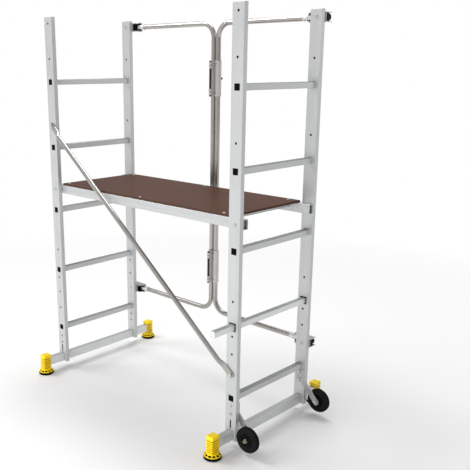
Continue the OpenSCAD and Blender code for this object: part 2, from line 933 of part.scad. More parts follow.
// A rail along X: the section's first axis runs towards the platform's middle
module rail() {
    difference() {
        translate([0, stile_t + rail_play, deck_bolt_z]) rotate([90, 0, 90])
            linear_extrude(rail_len) rail_section();
        for (x = cross_x)
            translate([x, rivet_y, deck_bolt_z]) cylinder(r = rivet_r + fit, h = rail_h);
    }
}

module front_rail() {
    color(c_alu) place() rail();
}

module rear_rail() {
    color(c_alu) place() at_back() rail();
}

module deck_board() {
    color(c_deck) place() difference() {
        translate([stile_w + deck_end_gap, deck_y0, deck_bolt_z + rail_h / 2])
            cube([frame_pitch - stile_w - 2 * deck_end_gap, frame_depth - 2 * deck_y0, deck_t]);
        for (x = cross_x)
            both_ends() translate([x, rivet_y, deck_bolt_z]) {
                cylinder(r = rivet_r + fit, h = 2 * rail_h);
                translate([0, 0, rail_h / 2 + deck_t - rivet_head_t - rivet_sunk])
                    cylinder(r = rivet_head_r + fit, h = rail_h);
            }
    }
}

module deck_cross_members() {
    y0 = stile_t + rail_play + rail_w;
    color(c_alu) place() for (x = cross_x)
        translate([x - cross_w / 2, y0, deck_bolt_z + rail_h / 2 - cross_h]) difference() {
            cube([cross_w, frame_depth - 2 * y0, cross_h]);
            translate([cross_wall, -1, cross_wall])
                cube([cross_w - 2 * cross_wall, frame_depth, cross_h - 2 * cross_wall]);
        }
}

// Rivets through the board into the rails, with flush heads
module deck_rivets() {
    top = deck_bolt_z + rail_h / 2 + deck_t;
    under = deck_t + 4;
    color(c_alu) place() for (x = cross_x)
        both_ends() translate([x, rivet_y, 0]) {
            translate([0, 0, top - under]) cylinder(r = rivet_r, h = under - rivet_sunk - rivet_head_t + eps);
            translate([0, 0, top - rivet_sunk - rivet_head_t]) cylinder(r = rivet_head_r, h = rivet_head_t);
        }
}

right_front_stile();
right_rear_stile();
right_rung_1();
right_rung_3();
right_rung_4();
right_rung_5();
right_rung_plugs();
right_stile_caps();
right_base_beam();
right_feet();
right_foot_soles();
wheel_arms();
wheel_axles();
right_frame_bolts();
right_guard_brackets();
right_guard_forks();
right_guard_pins();
right_deck_bolts();
brace_pivot_bolt();
step_bar_bushes();
step_bar();
front_tyre();
front_hub();
rear_tyre();
rear_hub();
brace();
right_guard_tube();
right_guard_ends();
right_hinge_leaves();
right_leaf_bolts();
hinge_rods();
hinge_button();
left_guard_tube();
left_guard_ends();
left_hinge_leaves();
left_leaf_bolts();
left_front_stile();
left_rear_stile();
left_rung_1();
left_rung_2();
left_rung_3();
left_rung_4();
left_rung_5();
left_rung_plugs();
left_stile_caps();
left_base_beam();
left_feet();
left_foot_soles();
left_frame_bolts();
left_guard_brackets();
left_guard_forks();
left_guard_pins();
left_deck_bolts();
brace_stud();
deck_board();
front_rail();
rear_rail();
deck_cross_members();
deck_rivets();
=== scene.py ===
"""Looks of a mobile tower scaffold: two ladder frames, a deck, a folding guard, a brace, feet and wheels.

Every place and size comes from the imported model, in metres, with +Z up and the floor at zero.
"""
import json
import logging
import math
from collections.abc import Mapping, Sequence
from dataclasses import dataclass
from enum import Enum

import bmesh
import bpy
from mathutils import Matrix, Vector


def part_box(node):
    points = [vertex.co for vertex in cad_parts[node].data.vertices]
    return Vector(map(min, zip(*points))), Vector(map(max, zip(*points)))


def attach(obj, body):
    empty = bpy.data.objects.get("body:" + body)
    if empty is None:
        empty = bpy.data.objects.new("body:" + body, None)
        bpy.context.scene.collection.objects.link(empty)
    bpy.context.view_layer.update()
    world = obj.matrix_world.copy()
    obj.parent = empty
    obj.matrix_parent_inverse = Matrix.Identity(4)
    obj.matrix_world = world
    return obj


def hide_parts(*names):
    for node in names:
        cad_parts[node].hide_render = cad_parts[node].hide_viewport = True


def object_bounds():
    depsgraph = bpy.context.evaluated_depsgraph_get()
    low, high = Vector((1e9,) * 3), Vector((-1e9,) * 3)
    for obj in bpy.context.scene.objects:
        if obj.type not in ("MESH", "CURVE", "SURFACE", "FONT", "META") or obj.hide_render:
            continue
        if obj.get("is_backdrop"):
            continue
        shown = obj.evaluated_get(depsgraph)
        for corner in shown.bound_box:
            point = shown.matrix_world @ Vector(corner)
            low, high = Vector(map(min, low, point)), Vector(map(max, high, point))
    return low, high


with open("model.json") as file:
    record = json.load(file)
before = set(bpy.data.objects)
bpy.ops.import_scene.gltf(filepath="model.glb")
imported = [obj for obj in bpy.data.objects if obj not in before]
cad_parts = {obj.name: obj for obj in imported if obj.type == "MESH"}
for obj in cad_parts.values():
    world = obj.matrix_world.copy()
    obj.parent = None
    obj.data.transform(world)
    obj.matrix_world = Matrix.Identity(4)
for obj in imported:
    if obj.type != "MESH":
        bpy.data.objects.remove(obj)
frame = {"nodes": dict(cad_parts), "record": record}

LOG = logging.getLogger("scaffold")
MM = 0.001
Colour = tuple[float, float, float]
Point = tuple[float, float]

UNLIT: Colour = (0.012, 0.012, 0.012)
WORN_LIGHT: Colour = (0.45, 0.44, 0.42)

# Limits for copied meshes: the angle of an edge that gets rounded, the angle of one that is
# no edge at all, and the distance under which two points are one.
SHARP_ANGLE = math.radians(38)
FLAT_ANGLE = math.radians(0.5)
WELD = 5e-6

# Profiles in millimetres.
# The step bar's groove: across the bar, and below its top.
BAR_NOTCH = ((-2.9, 0.0), (-3.5, 1.4), (-4.9, 1.4), (-5.5, 0.0))
# A foot's outer and inner ring: radius, and height above the sole.
FOOT_RIM = ((32.0, 0.3), (34.6, 0.3), (35.0, 1.2), (34.6, 3.0), (32.6, 3.6), (31.4, 2.8))
FOOT_HUB = ((20.0, 8.0), (24.6, 8.0), (25.2, 9.2), (24.4, 10.8), (21.0, 12.4), (19.0, 12.4))
# The two ends of a spoke: radius, lower and upper height, and half of its width.
FOOT_SPOKE = ((23.6, 7.2, 10.2, 2.3), (33.0, 0.4, 3.2, 2.7))
# A sole's flank: distance inside its radius, and height.
SOLE_FLANK = ((3.2, 0.0), (1.2, 1.0), (0.0, 2.4), (0.0, 4.4), (1.0, 5.0), (1.0, 6.0), (0.0, 6.6),
              (0.4, 9.2))
# The ring on a tyre's side: distance inside the tread, and below the side.
TYRE_RING = ((12.0, 0.2), (11.0, 1.0), (9.6, 1.0), (8.6, 0.0))
# A groove in the tread: its depth, and its place as a share of half the width.
TYRE_GROOVE = ((0.1, 0.48), (1.4, 0.44), (1.4, 0.34), (0.0, 0.30))
# A hub's side: radius, and distance below the side.
HUB_SIDE = ((11.4, 0.0), (12.0, 0.6), (12.4, 5.0), (14.0, 5.8), (26.0, 5.8), (28.0, 5.0), (28.6, 0.8),
            (29.4, 0.0), (32.0, 0.0), (33.0, 1.0))
# The two ends of a hub's rib: radius, and distance below the side.
HUB_RIB = ((11.8, 1.6), (28.8, 2.6))


class Axis(Enum):
    """A direction of the part's frame, with the index of its coordinate."""

    X = 0
    Y = 1
    Z = 2


# ---- Shader maths ----


class Value:
    """A shader socket whose operators add Math nodes."""

    def __init__(self, shader: "Shader", socket: bpy.types.NodeSocket) -> None:
        """Wraps a socket of a shader's node tree."""
        self.shader = shader
        self.socket = socket

    def __add__(self, other: "Value | float") -> "Value":
        """Adds."""
        return self.shader.maths("ADD", self, other)

    def __radd__(self, other: float) -> "Value":
        """Adds a number on the left."""
        return self.shader.maths("ADD", other, self)

    def __sub__(self, other: "Value | float") -> "Value":
        """Subtracts."""
        return self.shader.maths("SUBTRACT", self, other)

    def __mul__(self, other: "Value | float") -> "Value":
        """Multiplies."""
        return self.shader.maths("MULTIPLY", self, other)

    def __rmul__(self, other: float) -> "Value":
        """Multiplies a number on the left."""
        return self.shader.maths("MULTIPLY", other, self)

    def __gt__(self, other: float) -> "Value":
        """One where this is the greater, otherwise zero."""
        return self.shader.maths("GREATER_THAN", self, other)

    def __lt__(self, other: float) -> "Value":
        """One where this is the smaller, otherwise zero."""
        return self.shader.maths("LESS_THAN", self, other)

    def magnitude(self) -> "Value":
        """The value without its sign."""
        return self.shader.maths("ABSOLUTE", self)

    def sine(self) -> "Value":
        """The sine of the value in radians."""
        return self.shader.maths("SINE", self)


class Shader:
    """A material made of nodes around one principled surface."""

    def __init__(self, name: str) -> None:
        """Starts a material.

        Args:
            name: The material's name.
        """
        self.material = bpy.data.materials.new(name)
        self.material.use_nodes = True
        self.tree = self.material.node_tree
        self.tree.nodes.clear()
        self.surface = self.tree.nodes.new("ShaderNodeBsdfPrincipled")
        output = self.tree.nodes.new("ShaderNodeOutputMaterial")
        self.tree.links.new(self.surface.outputs[0], output.inputs["Surface"])

    def node(self, kind: str, settings: Mapping[str, object], inputs: Mapping[int | str, object],
             output: int | str = 0) -> Value:
        """Adds any node.

        Args:
            kind: The node's type.
            settings: Its properties, set before its sockets.
            inputs: Values or links for its input sockets.
            output: The output socket to return.

        Returns:
            The wrapped output socket.
        """
        made = self.tree.nodes.new(kind)
        for key, value in settings.items():
            setattr(made, key, value)
        for key, value in inputs.items():
            self.feed(made.inputs[key], value)
        return Value(self, made.outputs[output])

    def feed(self, socket: bpy.types.NodeSocket, value: object) -> None:
        """Sets a socket to a constant, or links it.

        Args:
            socket: The input to fill.
            value: A constant, or a value of the graph.
        """
        if isinstance(value, Value):
            self.tree.links.new(value.socket, socket)
        else:
            socket.default_value = value

    def maths(self, operation: str, *values: "Value | float") -> Value:
        """Adds a Math node on the given values."""
        return self.node("ShaderNodeMath", {"operation": operation}, dict(enumerate(values)))

    def place(self) -> Value:
        """The point in the part's frame at rest."""
        return self.node("ShaderNodeTexCoord", {}, {}, "Object")

    def part(self, vector: Value, axis: Axis) -> Value:
        """One coordinate of a vector."""
        return self.node("ShaderNodeSeparateXYZ", {}, {0: vector}, axis.value)

    def noise(self, scale: float | Sequence[float], detail: float = 3.0, rough: float = 0.55) -> Value:
        """Noise over the surface.

        Args:
            scale: Features per metre, the same all ways or one number per axis.
            detail: Octaves.
            rough: How strong the finer octaves are.

        Returns:
            A value around one half.
        """
        spread = (scale,) * 3 if isinstance(scale, (int, float)) else tuple(scale)
        mapped = self.node("ShaderNodeMapping", {}, {"Vector": self.place(), "Scale": spread})
        sockets = {"Vector": mapped, "Scale": 1.0, "Detail": detail, "Roughness": rough}
        return self.node("ShaderNodeTexNoise", {}, sockets, "Fac")

    def blend(self, factor: Value | float, first: object, second: object) -> Value:
        """Mixes two colours, each a link or red, green and blue.

        Args:
            factor: The second one's share.
            first: The colour at 0.
            second: The colour at 1.

        Returns:
            The mixed colour.
        """
        made = self.tree.nodes.new("ShaderNodeMix")
        made.data_type = "RGBA"
        self.feed(made.inputs[0], factor)
        for socket, colour in ((made.inputs[6], first), (made.inputs[7], second)):
            self.feed(socket, colour if isinstance(colour, Value) else (*colour, 1.0))
        return Value(self, made.outputs[2])

    def ramp(self, factor: Value, low: float, high: float) -> Value:
        """Stretches a value so that low gives zero and high gives one, and clamps it."""
        sockets = {"Value": factor, "From Min": low, "From Max": high}
        return self.node("ShaderNodeMapRange", {"clamp": True}, sockets)

    def bump(self, height: Value, depth: float) -> Value:
        """Turns a height into a normal.

        Args:
            height: The height, from zero to one.
            depth: The depth of one unit of height, in metres.

        Returns:
            The new normal.
        """
        sockets = {"Height": height, "Distance": depth, "Strength": 1.0}
        return self.node("ShaderNodeBump", {}, sockets)

    def facing_up(self) -> Value:
        """The upward share of the surface's normal."""
        return self.part(self.node("ShaderNodeNewGeometry", {}, {}, "Normal"), Axis.Z)

    def edge(self, mask: str = "edge") -> Value:
        """One on a piece's rounded edges, or on the faces of another mask, otherwise zero."""
        return self.node("ShaderNodeAttribute", {"attribute_name": mask}, {}, "Fac")

    def dress(self, **values: object) -> bpy.types.Material:
        """Feeds the principled surface, with underscores for the spaces in its sockets' names.

        Returns:
            The material.
        """
        for name, value in values.items():
            self.feed(self.surface.inputs[name.replace("_", " ")], value)
        return self.material


# ---- Finishes ----


def toned(colour: Colour, gain: float) -> Colour:
    """A colour made darker or brighter, up to white.

    Args:
        colour: Red, green and blue.
        gain: The factor.

    Returns:
        The new colour.
    """
    return tuple(min(1.0, gain * c) for c in colour)


@dataclass(frozen=True)
class Extrusion:
    """Mill-finished aluminium with fine lines along the way it was drawn."""

    name: str
    along: Axis
    colour: Colour = (0.562, 0.574, 0.578)
    roughness: float = 0.42
    line_depth: float = 0.03 * MM
    metallic: float = 0.55
    # The share by which upward faces are painted darker: painted shade on the tops of rungs and beams.
    tread: float = 0.0

    def drawn(self, across: float, along: float) -> list[float]:
        """Noise scales for lines along the way it was drawn.

        Args:
            across: Features per metre across that way.
            along: Features per metre along it.

        Returns:
            One scale for each axis.
        """
        scales = [across] * len(Axis)
        scales[self.along.value] = along
        return scales

    def material(self) -> bpy.types.Material:
        """Makes the material.

        Returns:
            The material.
        """
        shader = Shader(self.name)
        lines = shader.noise(self.drawn(260.0, 1.6), 4.0, 0.65)
        streaks = shader.noise(self.drawn(34.0, 0.9), 2.0)
        cloud = shader.noise(7.0, 4.0)
        marks = shader.ramp(shader.noise(90.0, 6.0, 0.7), 0.62, 0.72)
        tone = shader.ramp(0.5 * streaks + 0.5 * cloud, 0.36, 0.64)
        base = shader.blend(tone, toned(self.colour, 0.92), self.colour)
        base = shader.blend(shader.edge() * 0.6, base, toned(self.colour, 1.05))
        # Painted shade: upward faces are darkened by the tread share, standing in for the shade on their
        # tops.
        if self.tread:
            painted_top_shade = shader.ramp(shader.facing_up(), 0.5, 0.8)
            base = shader.blend(painted_top_shade, base, toned(self.colour, 1 - self.tread))
        # Painted shade: faces in the painted-shade mask, such as the stiles' hollows, are painted near
        # black.
        base = shader.blend(shader.edge("groove"), base, UNLIT)
        rough = self.roughness + 0.16 * (lines - 0.5) + 0.10 * (cloud - 0.5) - 0.05 * marks
        normal = shader.bump(lines + 0.35 * streaks, self.line_depth)
        return shader.dress(Base_Color=base, Metallic=self.metallic, Roughness=rough, Normal=normal)


@dataclass(frozen=True)
class PolishedTube:
    """Bright drawn tube, a little warm, with handling marks."""

    name: str
    colour: Colour = (0.50, 0.48, 0.455)
    roughness: float = 0.28

    def material(self) -> bpy.types.Material:
        """Makes the material.

        Returns:
            The material.
        """
        shader = Shader(self.name)
        smear = shader.noise(6.0, 4.0, 0.5)
        fine = shader.noise(420.0, 3.0, 0.6)
        scuffs = shader.ramp(shader.noise((60.0, 60.0, 25.0), 6.0, 0.75), 0.6, 0.74)
        base = shader.blend(shader.ramp(smear, 0.35, 0.65), toned(self.colour, 0.88), self.colour)
        rough = self.roughness + 0.08 * (smear - 0.5) + 0.06 * scuffs + 0.04 * (fine - 0.5)
        normal = shader.bump(fine + 0.6 * scuffs, 0.0015 * MM)
        return shader.dress(Base_Color=base, Metallic=1.0, Roughness=rough, Normal=normal)


@dataclass(frozen=True)
class Zinc:
    """Zinc-plated steel, mottled, brighter on its edges."""

    name: str
    colour: Colour = (0.62, 0.63, 0.635)
    roughness: float = 0.34
    metallic: float = 1.0

    def material(self) -> bpy.types.Material:
        """Makes the material.

        Returns:
            The material.
        """
        shader = Shader(self.name)
        mottle = shader.noise(130.0, 5.0, 0.6)
        cells = {"Vector": shader.place(), "Scale": 240.0}
        spangle = shader.node("ShaderNodeTexVoronoi", {}, cells, "Color")
        grey = shader.node("ShaderNodeRGBToBW", {}, {0: spangle})
        tone = shader.ramp(0.7 * mottle + 0.3 * grey, 0.3, 0.7)
        base = shader.blend(tone, toned(self.colour, 0.78), self.colour)
        base = shader.blend(shader.edge() * 0.5, base, toned(self.colour, 1.25))
        rough = self.roughness + 0.2 * (mottle - 0.5)
        normal = shader.bump(mottle, 0.03 * MM)
        return shader.dress(Base_Color=base, Metallic=self.metallic, Roughness=rough, Normal=normal)


@dataclass(frozen=True)
class Moulding:
    """Moulded plastic with a fine grain and slightly paler worn edges."""

    name: str
    colour: Colour
    roughness: float = 0.45
    grain_depth: float = 0.05 * MM
    edge_gain: float = 1.5
    dust: float = 0.1
    gloss: float = 0.5

    def material(self) -> bpy.types.Material:
        """Makes the material.

        Returns:
            The material.
        """
        shader = Shader(self.name)
        grain = shader.noise(1500.0, 2.0, 0.5)
        cloud = shader.noise(26.0, 4.0)
        dust = shader.ramp(shader.noise(70.0, 6.0, 0.7), 0.56, 0.75)
        pale = tuple(min(1.0, self.edge_gain * c + 0.01) for c in self.colour)
        base = shader.blend(shader.ramp(cloud, 0.3, 0.7), toned(self.colour, 0.86), self.colour)
        base = shader.blend(dust * self.dust, base, WORN_LIGHT)
        base = shader.blend(shader.edge() * 0.45, base, pale)
        # Painted shade: faces in the painted-shade mask, the gaps between the feet's ribs, are darkened to
        # a quarter of the colour.
        base = shader.blend(shader.edge("groove") * 0.9, base, toned(self.colour, 0.25))
        rough = self.roughness + 0.16 * (cloud - 0.5) + 0.12 * dust
        normal = shader.bump(grain + 0.5 * cloud, self.grain_depth)
        return shader.dress(Base_Color=base, Roughness=rough, Normal=normal,
                            Specular_IOR_Level=self.gloss)


@dataclass(frozen=True)
class Rubber:
    """Matt black rubber with a dusty bloom."""

    name: str
    colour: Colour = (0.004, 0.004, 0.0042)
    bloom: Colour = (0.06, 0.059, 0.057)
    scuffed: Colour = (0.08, 0.08, 0.08)
    gloss: float = 0.03

    def material(self) -> bpy.types.Material:
        """Makes the material.

        Returns:
            The material.
        """
        shader = Shader(self.name)
        grain = shader.noise(900.0, 4.0, 0.65)
        bloom = shader.ramp(shader.noise(38.0, 6.0, 0.65), 0.45, 0.75)
        base = shader.blend(bloom * 0.08, self.colour, self.bloom)
        base = shader.blend(shader.edge() * 0.12, base, self.scuffed)
        normal = shader.bump(grain, 0.09 * MM)
        rough = 0.72 + 0.2 * (bloom - 0.5)
        return shader.dress(Base_Color=base, Roughness=rough, Normal=normal,
                            Specular_IOR_Level=self.gloss)


@dataclass(frozen=True)
class FilmedPlywood:
    """Birch plywood under a dark brown phenolic film, with its plies at the sawn edge."""

    name: str
    top: float
    film: Colour = (0.082, 0.034, 0.020)
    scuffed: Colour = (0.17, 0.10, 0.075)
    dark_ply: Colour = (0.052, 0.026, 0.018)
    pale_ply: Colour = (0.085, 0.05, 0.034)
    ply: float = 1.5 * MM
    gloss: float = 0.05

    def material(self) -> bpy.types.Material:
        """Makes the material.

        Returns:
            The material.
        """
        shader = Shader(self.name)
        place = shader.place()
        height = shader.part(place, Axis.Z)
        level = shader.facing_up().magnitude()
        grain = shader.noise((3.0, 95.0, 95.0), 5.0, 0.65)
        cloud = shader.noise(5.0, 5.0, 0.6)
        scuffs = shader.ramp(shader.noise((42.0, 14.0, 40.0), 8.0, 0.75), 0.58, 0.7)
        tone = shader.ramp(0.55 * grain + 0.45 * cloud, 0.34, 0.66)
        film = shader.blend(tone, toned(self.film, 0.78), toned(self.film, 1.22))
        film = shader.blend(scuffs * 0.12, film, self.scuffed)
        plies = ((height - self.top) * (math.pi / self.ply)).sine() > 0.0
        sawn = shader.blend(plies, self.dark_ply, self.pale_ply)
        base = shader.blend(level < 0.5, film, sawn)
        grid = shader.node("ShaderNodeTexVoronoi", {"feature": "DISTANCE_TO_EDGE"},
                           {"Vector": place, "Scale": 300.0}, "Distance")
        rough = 0.40 + 0.12 * (cloud - 0.5) + 0.16 * scuffs
        normal = shader.bump(shader.ramp(grid, 0.0, 0.2) + 0.8 * grain, 0.045 * MM)
        return shader.dress(Base_Color=base, Roughness=rough, Normal=normal,
                            Specular_IOR_Level=self.gloss)


@dataclass(frozen=True)
class StudioFloor:
    """A pale floor that fades to white far away."""

    name: str
    colour: Colour = (0.82, 0.82, 0.822)
    near: float = 1.1
    far: float = 3.4

    def material(self) -> bpy.types.Material:
        """Makes the material.

        Returns:
            The material.
        """
        shader = Shader(self.name)
        place = {0: shader.place()}
        away = shader.node("ShaderNodeVectorMath", {"operation": "LENGTH"}, place, "Value")
        fade = shader.ramp(away, self.near, self.far)
        grain = shader.noise(3.0, 3.0)
        shader.dress(Base_Color=(*self.colour, 1.0), Roughness=0.75 + 0.05 * (grain - 0.5))
        glow = shader.tree.nodes.new("ShaderNodeEmission")
        mixer = shader.tree.nodes.new("ShaderNodeMixShader")
        shader.feed(mixer.inputs[0], fade)
        shader.tree.links.new(shader.surface.outputs[0], mixer.inputs[1])
        shader.tree.links.new(glow.outputs[0], mixer.inputs[2])
        output = next(n for n in shader.tree.nodes if n.type == "OUTPUT_MATERIAL")
        shader.tree.links.new(mixer.outputs[0], output.inputs["Surface"])
        return shader.material


class Finishes:
    """Every finish of the scaffold, made once."""

    def __init__(self, deck_top: float) -> None:
        """Makes the materials.

        Args:
            deck_top: Height of the deck board's upper face.
        """
        self.upright = Extrusion("aluminium_upright", Axis.Z).material()
        self.crosswise = Extrusion("aluminium_crosswise", Axis.Y).material()
        # The rungs' and the beam's finishes paint their upward faces darker: painted shade.
        self.tread = Extrusion("aluminium_tread", Axis.Y, tread=0.55).material()
        # The beam's colour is lighter than the other aluminium's: painted light on its faces towards the
        # wheels' side, which the lamps leave dim.
        self.beam = Extrusion("aluminium_beam", Axis.Y, (0.74, 0.755, 0.76), tread=0.3).material()
        self.lengthwise = Extrusion("aluminium_lengthwise", Axis.X).material()
        self.tube = PolishedTube("polished_tube").material()
        self.collar = Extrusion("aluminium_collar", Axis.X, (0.72, 0.71, 0.70), 0.28).material()
        self.hinge = Extrusion("hinge_leaf", Axis.Z, (0.56, 0.545, 0.53), 0.33, 0.05 * MM).material()
        self.plate = Zinc("zinc_plate", (0.56, 0.56, 0.555), 0.4).material()
        self.bolt = Zinc("zinc_bolt", (0.74, 0.74, 0.73), 0.26).material()
        self.black_steel = Zinc("black_steel", (0.03, 0.03, 0.031), 0.42, 0.6).material()
        self.plug = Moulding("plug_plastic", (0.002, 0.002, 0.002), 0.6, edge_gain=1.0,
                             dust=0.0, gloss=0.06).material()
        self.rivet = Zinc("bright_rivet", (0.95, 0.95, 0.94), 0.4, 0.2).material()
        self.black = Moulding("black_plastic", (0.006, 0.006, 0.0065), 0.42, edge_gain=3.0,
                              dust=0.02, gloss=0.1).material()
        self.grey = Moulding("grey_plastic", (0.52, 0.525, 0.53), 0.5, edge_gain=1.1).material()
        self.yellow = Moulding("yellow_plastic", (1.0, 0.70, 0.004), 0.42, edge_gain=1.0,
                               dust=0.02, gloss=0.35).material()
        self.rubber = Rubber("sole_rubber").material()
        self.tyre = Rubber("tyre_rubber", (0.009, 0.009, 0.0095)).material()
        self.deck = FilmedPlywood("filmed_plywood", deck_top).material()


# ---- Meshes ----


@dataclass(frozen=True)
class Box:
    """The box of a node at rest."""

    low: Vector
    high: Vector

    @classmethod
    def of(cls, node: str) -> "Box":
        """The box of the node with that name."""
        return cls(*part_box(node))

    @property
    def middle(self) -> Vector:
        """The box's centre."""
        return (self.low + self.high) / 2

    @property
    def size(self) -> Vector:
        """The box's three sides."""
        return self.high - self.low


def rounded_square(half: float, radius: float, steps: int = 4) -> list[Point]:
    """The outline of a square with round corners.

    Args:
        half: Half of its side.
        radius: The corners' radius.
        steps: Segments in each corner.

    Returns:
        Points in order, anticlockwise.
    """
    points = []
    for corner in range(4):
        turn = corner * math.pi / 2
        sign_x, sign_y = ((1, 1), (-1, 1), (-1, -1), (1, -1))[corner]
        for step in range(steps + 1):
            angle = turn + step / steps * math.pi / 2
            points.append((sign_x * (half - radius) + radius * math.cos(angle),
                           sign_y * (half - radius) + radius * math.sin(angle)))
    return points


def squared(point: Point, half: float, radius: float) -> Point:
    """The point of a square with round corners that lies in the same direction as a given one.

    Args:
        point: The given point.
        half: Half of the square's side.
        radius: The corners' radius.

    Returns:
        The point on the square.
    """
    reach = max(abs(point[0]), abs(point[1]))
    spot = Vector((point[0], point[1])) * (half / reach)
    flat = half - radius
    base = Vector((max(-flat, min(flat, spot.x)), max(-flat, min(flat, spot.y))))
    away = spot - base
    if away.length > 0:
        spot = base + away.normalized() * radius
    return spot.x, spot.y


def arc(radius: float, first: float, sweep: float, steps: int) -> list[Point]:
    """Points along an arc round the origin.

    Args:
        radius: Its radius.
        first: The angle it starts at.
        sweep: The angle it covers, negative for clockwise.
        steps: Segments in it.

    Returns:
        Points in order, both ends included.
    """
    angles = (first + i * sweep / steps for i in range(steps + 1))
    return [(radius * math.cos(a), radius * math.sin(a)) for a in angles]


def circle(radius: float, steps: int) -> list[Point]:
    """Points round a circle, anticlockwise."""
    return arc(radius, 0.0, math.tau, steps)[:-1]


class Shape:
    """A mesh under construction in the part's frame, whose faces know if they are a rounded edge and if
    they get painted shade.
    """

    def __init__(self) -> None:
        """Starts an empty mesh."""
        self.mesh = bmesh.new()
        self.edge = self.mesh.faces.layers.float.new("edge")
        # This layer marks faces whose finish paints them dark: painted shade for recesses that lie in
        # shadow.
        self.groove = self.mesh.faces.layers.float.new("groove")

    def loft(self, rings: Sequence[Sequence[Vector]], loop: bool = False,
             edges: Sequence[int] = ()) -> "Shape":
        """Joins rings of equal length, and closes the ends unless they loop.

        Args:
            rings: Closed rings of points, in order.
            loop: Whether the last ring joins the first.
            edges: Numbers of the strips that count as a rounded edge.

        Returns:
            The shape itself.
        """
        rows = [[self.mesh.verts.new(p) for p in ring] for ring in rings]
        count = len(rows[0])
        for number in range(len(rows) if loop else len(rows) - 1):
            first, second = rows[number], rows[(number + 1) % len(rows)]
            for i in range(count):
                j = (i + 1) % count
                face = self.mesh.faces.new((first[i], first[j], second[j], second[i]))
                face[self.edge] = float(number in edges)
        if not loop:
            self.mesh.faces.new(rows[0][::-1])
            self.mesh.faces.new(rows[-1])
        return self

    def bar(self, outline: Sequence[Point], axis: Axis, start: Vector, end: float, chamfer: float = 0.0,
            inner: float = 0.0) -> "Shape":
        """A straight bar of one outline along an axis.

        Args:
            outline: Its outline, in the two other coordinates.
            axis: The way it runs.
            start: The outline's centre at its first end.
            end: Its last coordinate along the axis.
            chamfer: How much its ends are broken.
            inner: The scale of its hollow, or zero for a solid bar.

        Returns:
            The shape itself.
        """
        reach = max(max(abs(u), abs(v)) for u, v in outline)
        shrink = 1.0 - chamfer / reach
        stations = [(start[axis.value], shrink), (start[axis.value] + chamfer, 1.0),
                    (end - chamfer, 1.0), (end, shrink)]
        if chamfer == 0.0:
            stations = [stations[0], stations[-1]]
        rings = [self._ring(outline, axis, start, at, scale) for at, scale in stations]
        broken = [0, 2] if chamfer else []
        if inner:
            hollow = [squared(p, inner * reach, 0.42 * reach) for p in outline]
            ends = [stations[-1][0], stations[0][0]]
            rings += [self._ring(hollow, axis, start, at, 1.0) for at in ends]
        return self.loft(rings, loop=bool(inner), edges=broken)

    @staticmethod
    def _ring(outline: Sequence[Point], axis: Axis, start: Vector, at: float, scale: float) -> list[Vector]:
        """One outline placed at a coordinate of the axis.

        Args:
            outline: Points across the axis.
            axis: The axis that it stands across.
            start: A point on the middle line.
            at: The coordinate along the axis.
            scale: The outline's size as a share.

        Returns:
            The outline's points in the part's frame.
        """
        others = [i for i in range(3) if i != axis.value]
        ring = []
        for u, v in outline:
            point = Vector(start)
            point[others[0]] += u * scale
            point[others[1]] += v * scale
            point[axis.value] = at
            ring.append(point)
        return ring

    def lathe(self, profile: Sequence[Point], axis: Axis, centre: Vector, steps: int = 72,
              edges: Sequence[int] = ()) -> "Shape":
        """Turns a profile round an axis.

        Args:
            profile: Radius and height of each point, from the axis out and back to it, or a closed ring.
            axis: The axis of turning.
            centre: The point where the height is zero.
            steps: Segments round the axis.
            edges: Numbers of the profile's segments that count as a rounded edge.

        Returns:
            The shape itself.
        """
        others = [i for i in range(3) if i != axis.value]
        rows = []
        for radius, height in profile:
            row = []
            for u, v in circle(radius, steps):
                point = Vector(centre)
                point[others[0]] += u
                point[others[1]] += v
                point[axis.value] += height
                row.append(point)
            rows.append(row)
        if profile[0][0] > 0:
            return self.loft(rows, loop=True, edges=edges)
        return self.loft(rows[1:-1], edges=edges)

    def block(self, low: Vector, high: Vector, radius: float, segments: int,
              sunk: bool = False) -> "Shape":
        """A box with rounded edges.

        Args:
            low: Its lowest corner.
            high: Its highest corner.
            radius: The radius of its edges.
            segments: Segments in each rounded edge.
            sunk: Whether it lies deeper than its neighbours and gets painted shade.

        Returns:
            The shape itself.
        """
        size = high - low
        place = Matrix.Translation((low + high) / 2) @ Matrix.Diagonal((*size, 1.0))
        made = bmesh.ops.create_cube(self.mesh, size=1.0, matrix=place)
        lines = {e for v in made["verts"] for e in v.link_edges}
        bent = bmesh.ops.bevel(self.mesh, geom=list(lines), offset=radius, segments=segments,
                               profile=0.5, affect="EDGES", clamp_overlap=True)
        for face in bent["faces"]:
            face[self.edge] = 0.0 if sunk else 1.0
        if sunk:
            for face in {f for v in bent["verts"] for f in v.link_faces}:
                face[self.groove] = 1.0
        return self

    def soften(self, node: str, width: float) -> "Shape":
        """Copies a node's mesh and rounds its sharp edges.

        Args:
            node: The node's name.
            width: How far each edge is cut back.

        Returns:
            The shape itself.
        """
        self.mesh.from_mesh(frame["nodes"][node].data)
        self.edge = self.mesh.faces.layers.float["edge"]
        self.groove = self.mesh.faces.layers.float["groove"]
        bmesh.ops.remove_doubles(self.mesh, verts=self.mesh.verts, dist=WELD)
        bmesh.ops.dissolve_limit(self.mesh, angle_limit=FLAT_ANGLE, verts=self.mesh.verts,
                                 edges=self.mesh.edges, use_dissolve_boundaries=False)
        sharp = [e for e in self.mesh.edges
                 if len(e.link_faces) == 2 and e.calc_face_angle(0.0) > SHARP_ANGLE]
        bent = bmesh.ops.bevel(self.mesh, geom=sharp, offset=width, segments=2, profile=0.5,
                               affect="EDGES", clamp_overlap=False, miter_outer="SHARP")
        for face in bent["faces"]:
            face[self.edge] = 1.0
        return self

    def shade_inside(self, node: str, depth: float) -> "Shape":
        """Marks the faces that lie deeper inside a node's box than a depth along X and Y as unlit.

        Args:
            node: The node whose box counts.
            depth: How deep inside the box a face has to lie.

        Returns:
            The same shape.
        """
        box = Box.of(node)
        for face in self.mesh.faces:
            spot = face.calc_center_median()
            below, above = spot - box.low, box.high - spot
            if min(below.x, above.x, below.y, above.y) > depth:
                face[self.groove] = 1.0
        return self

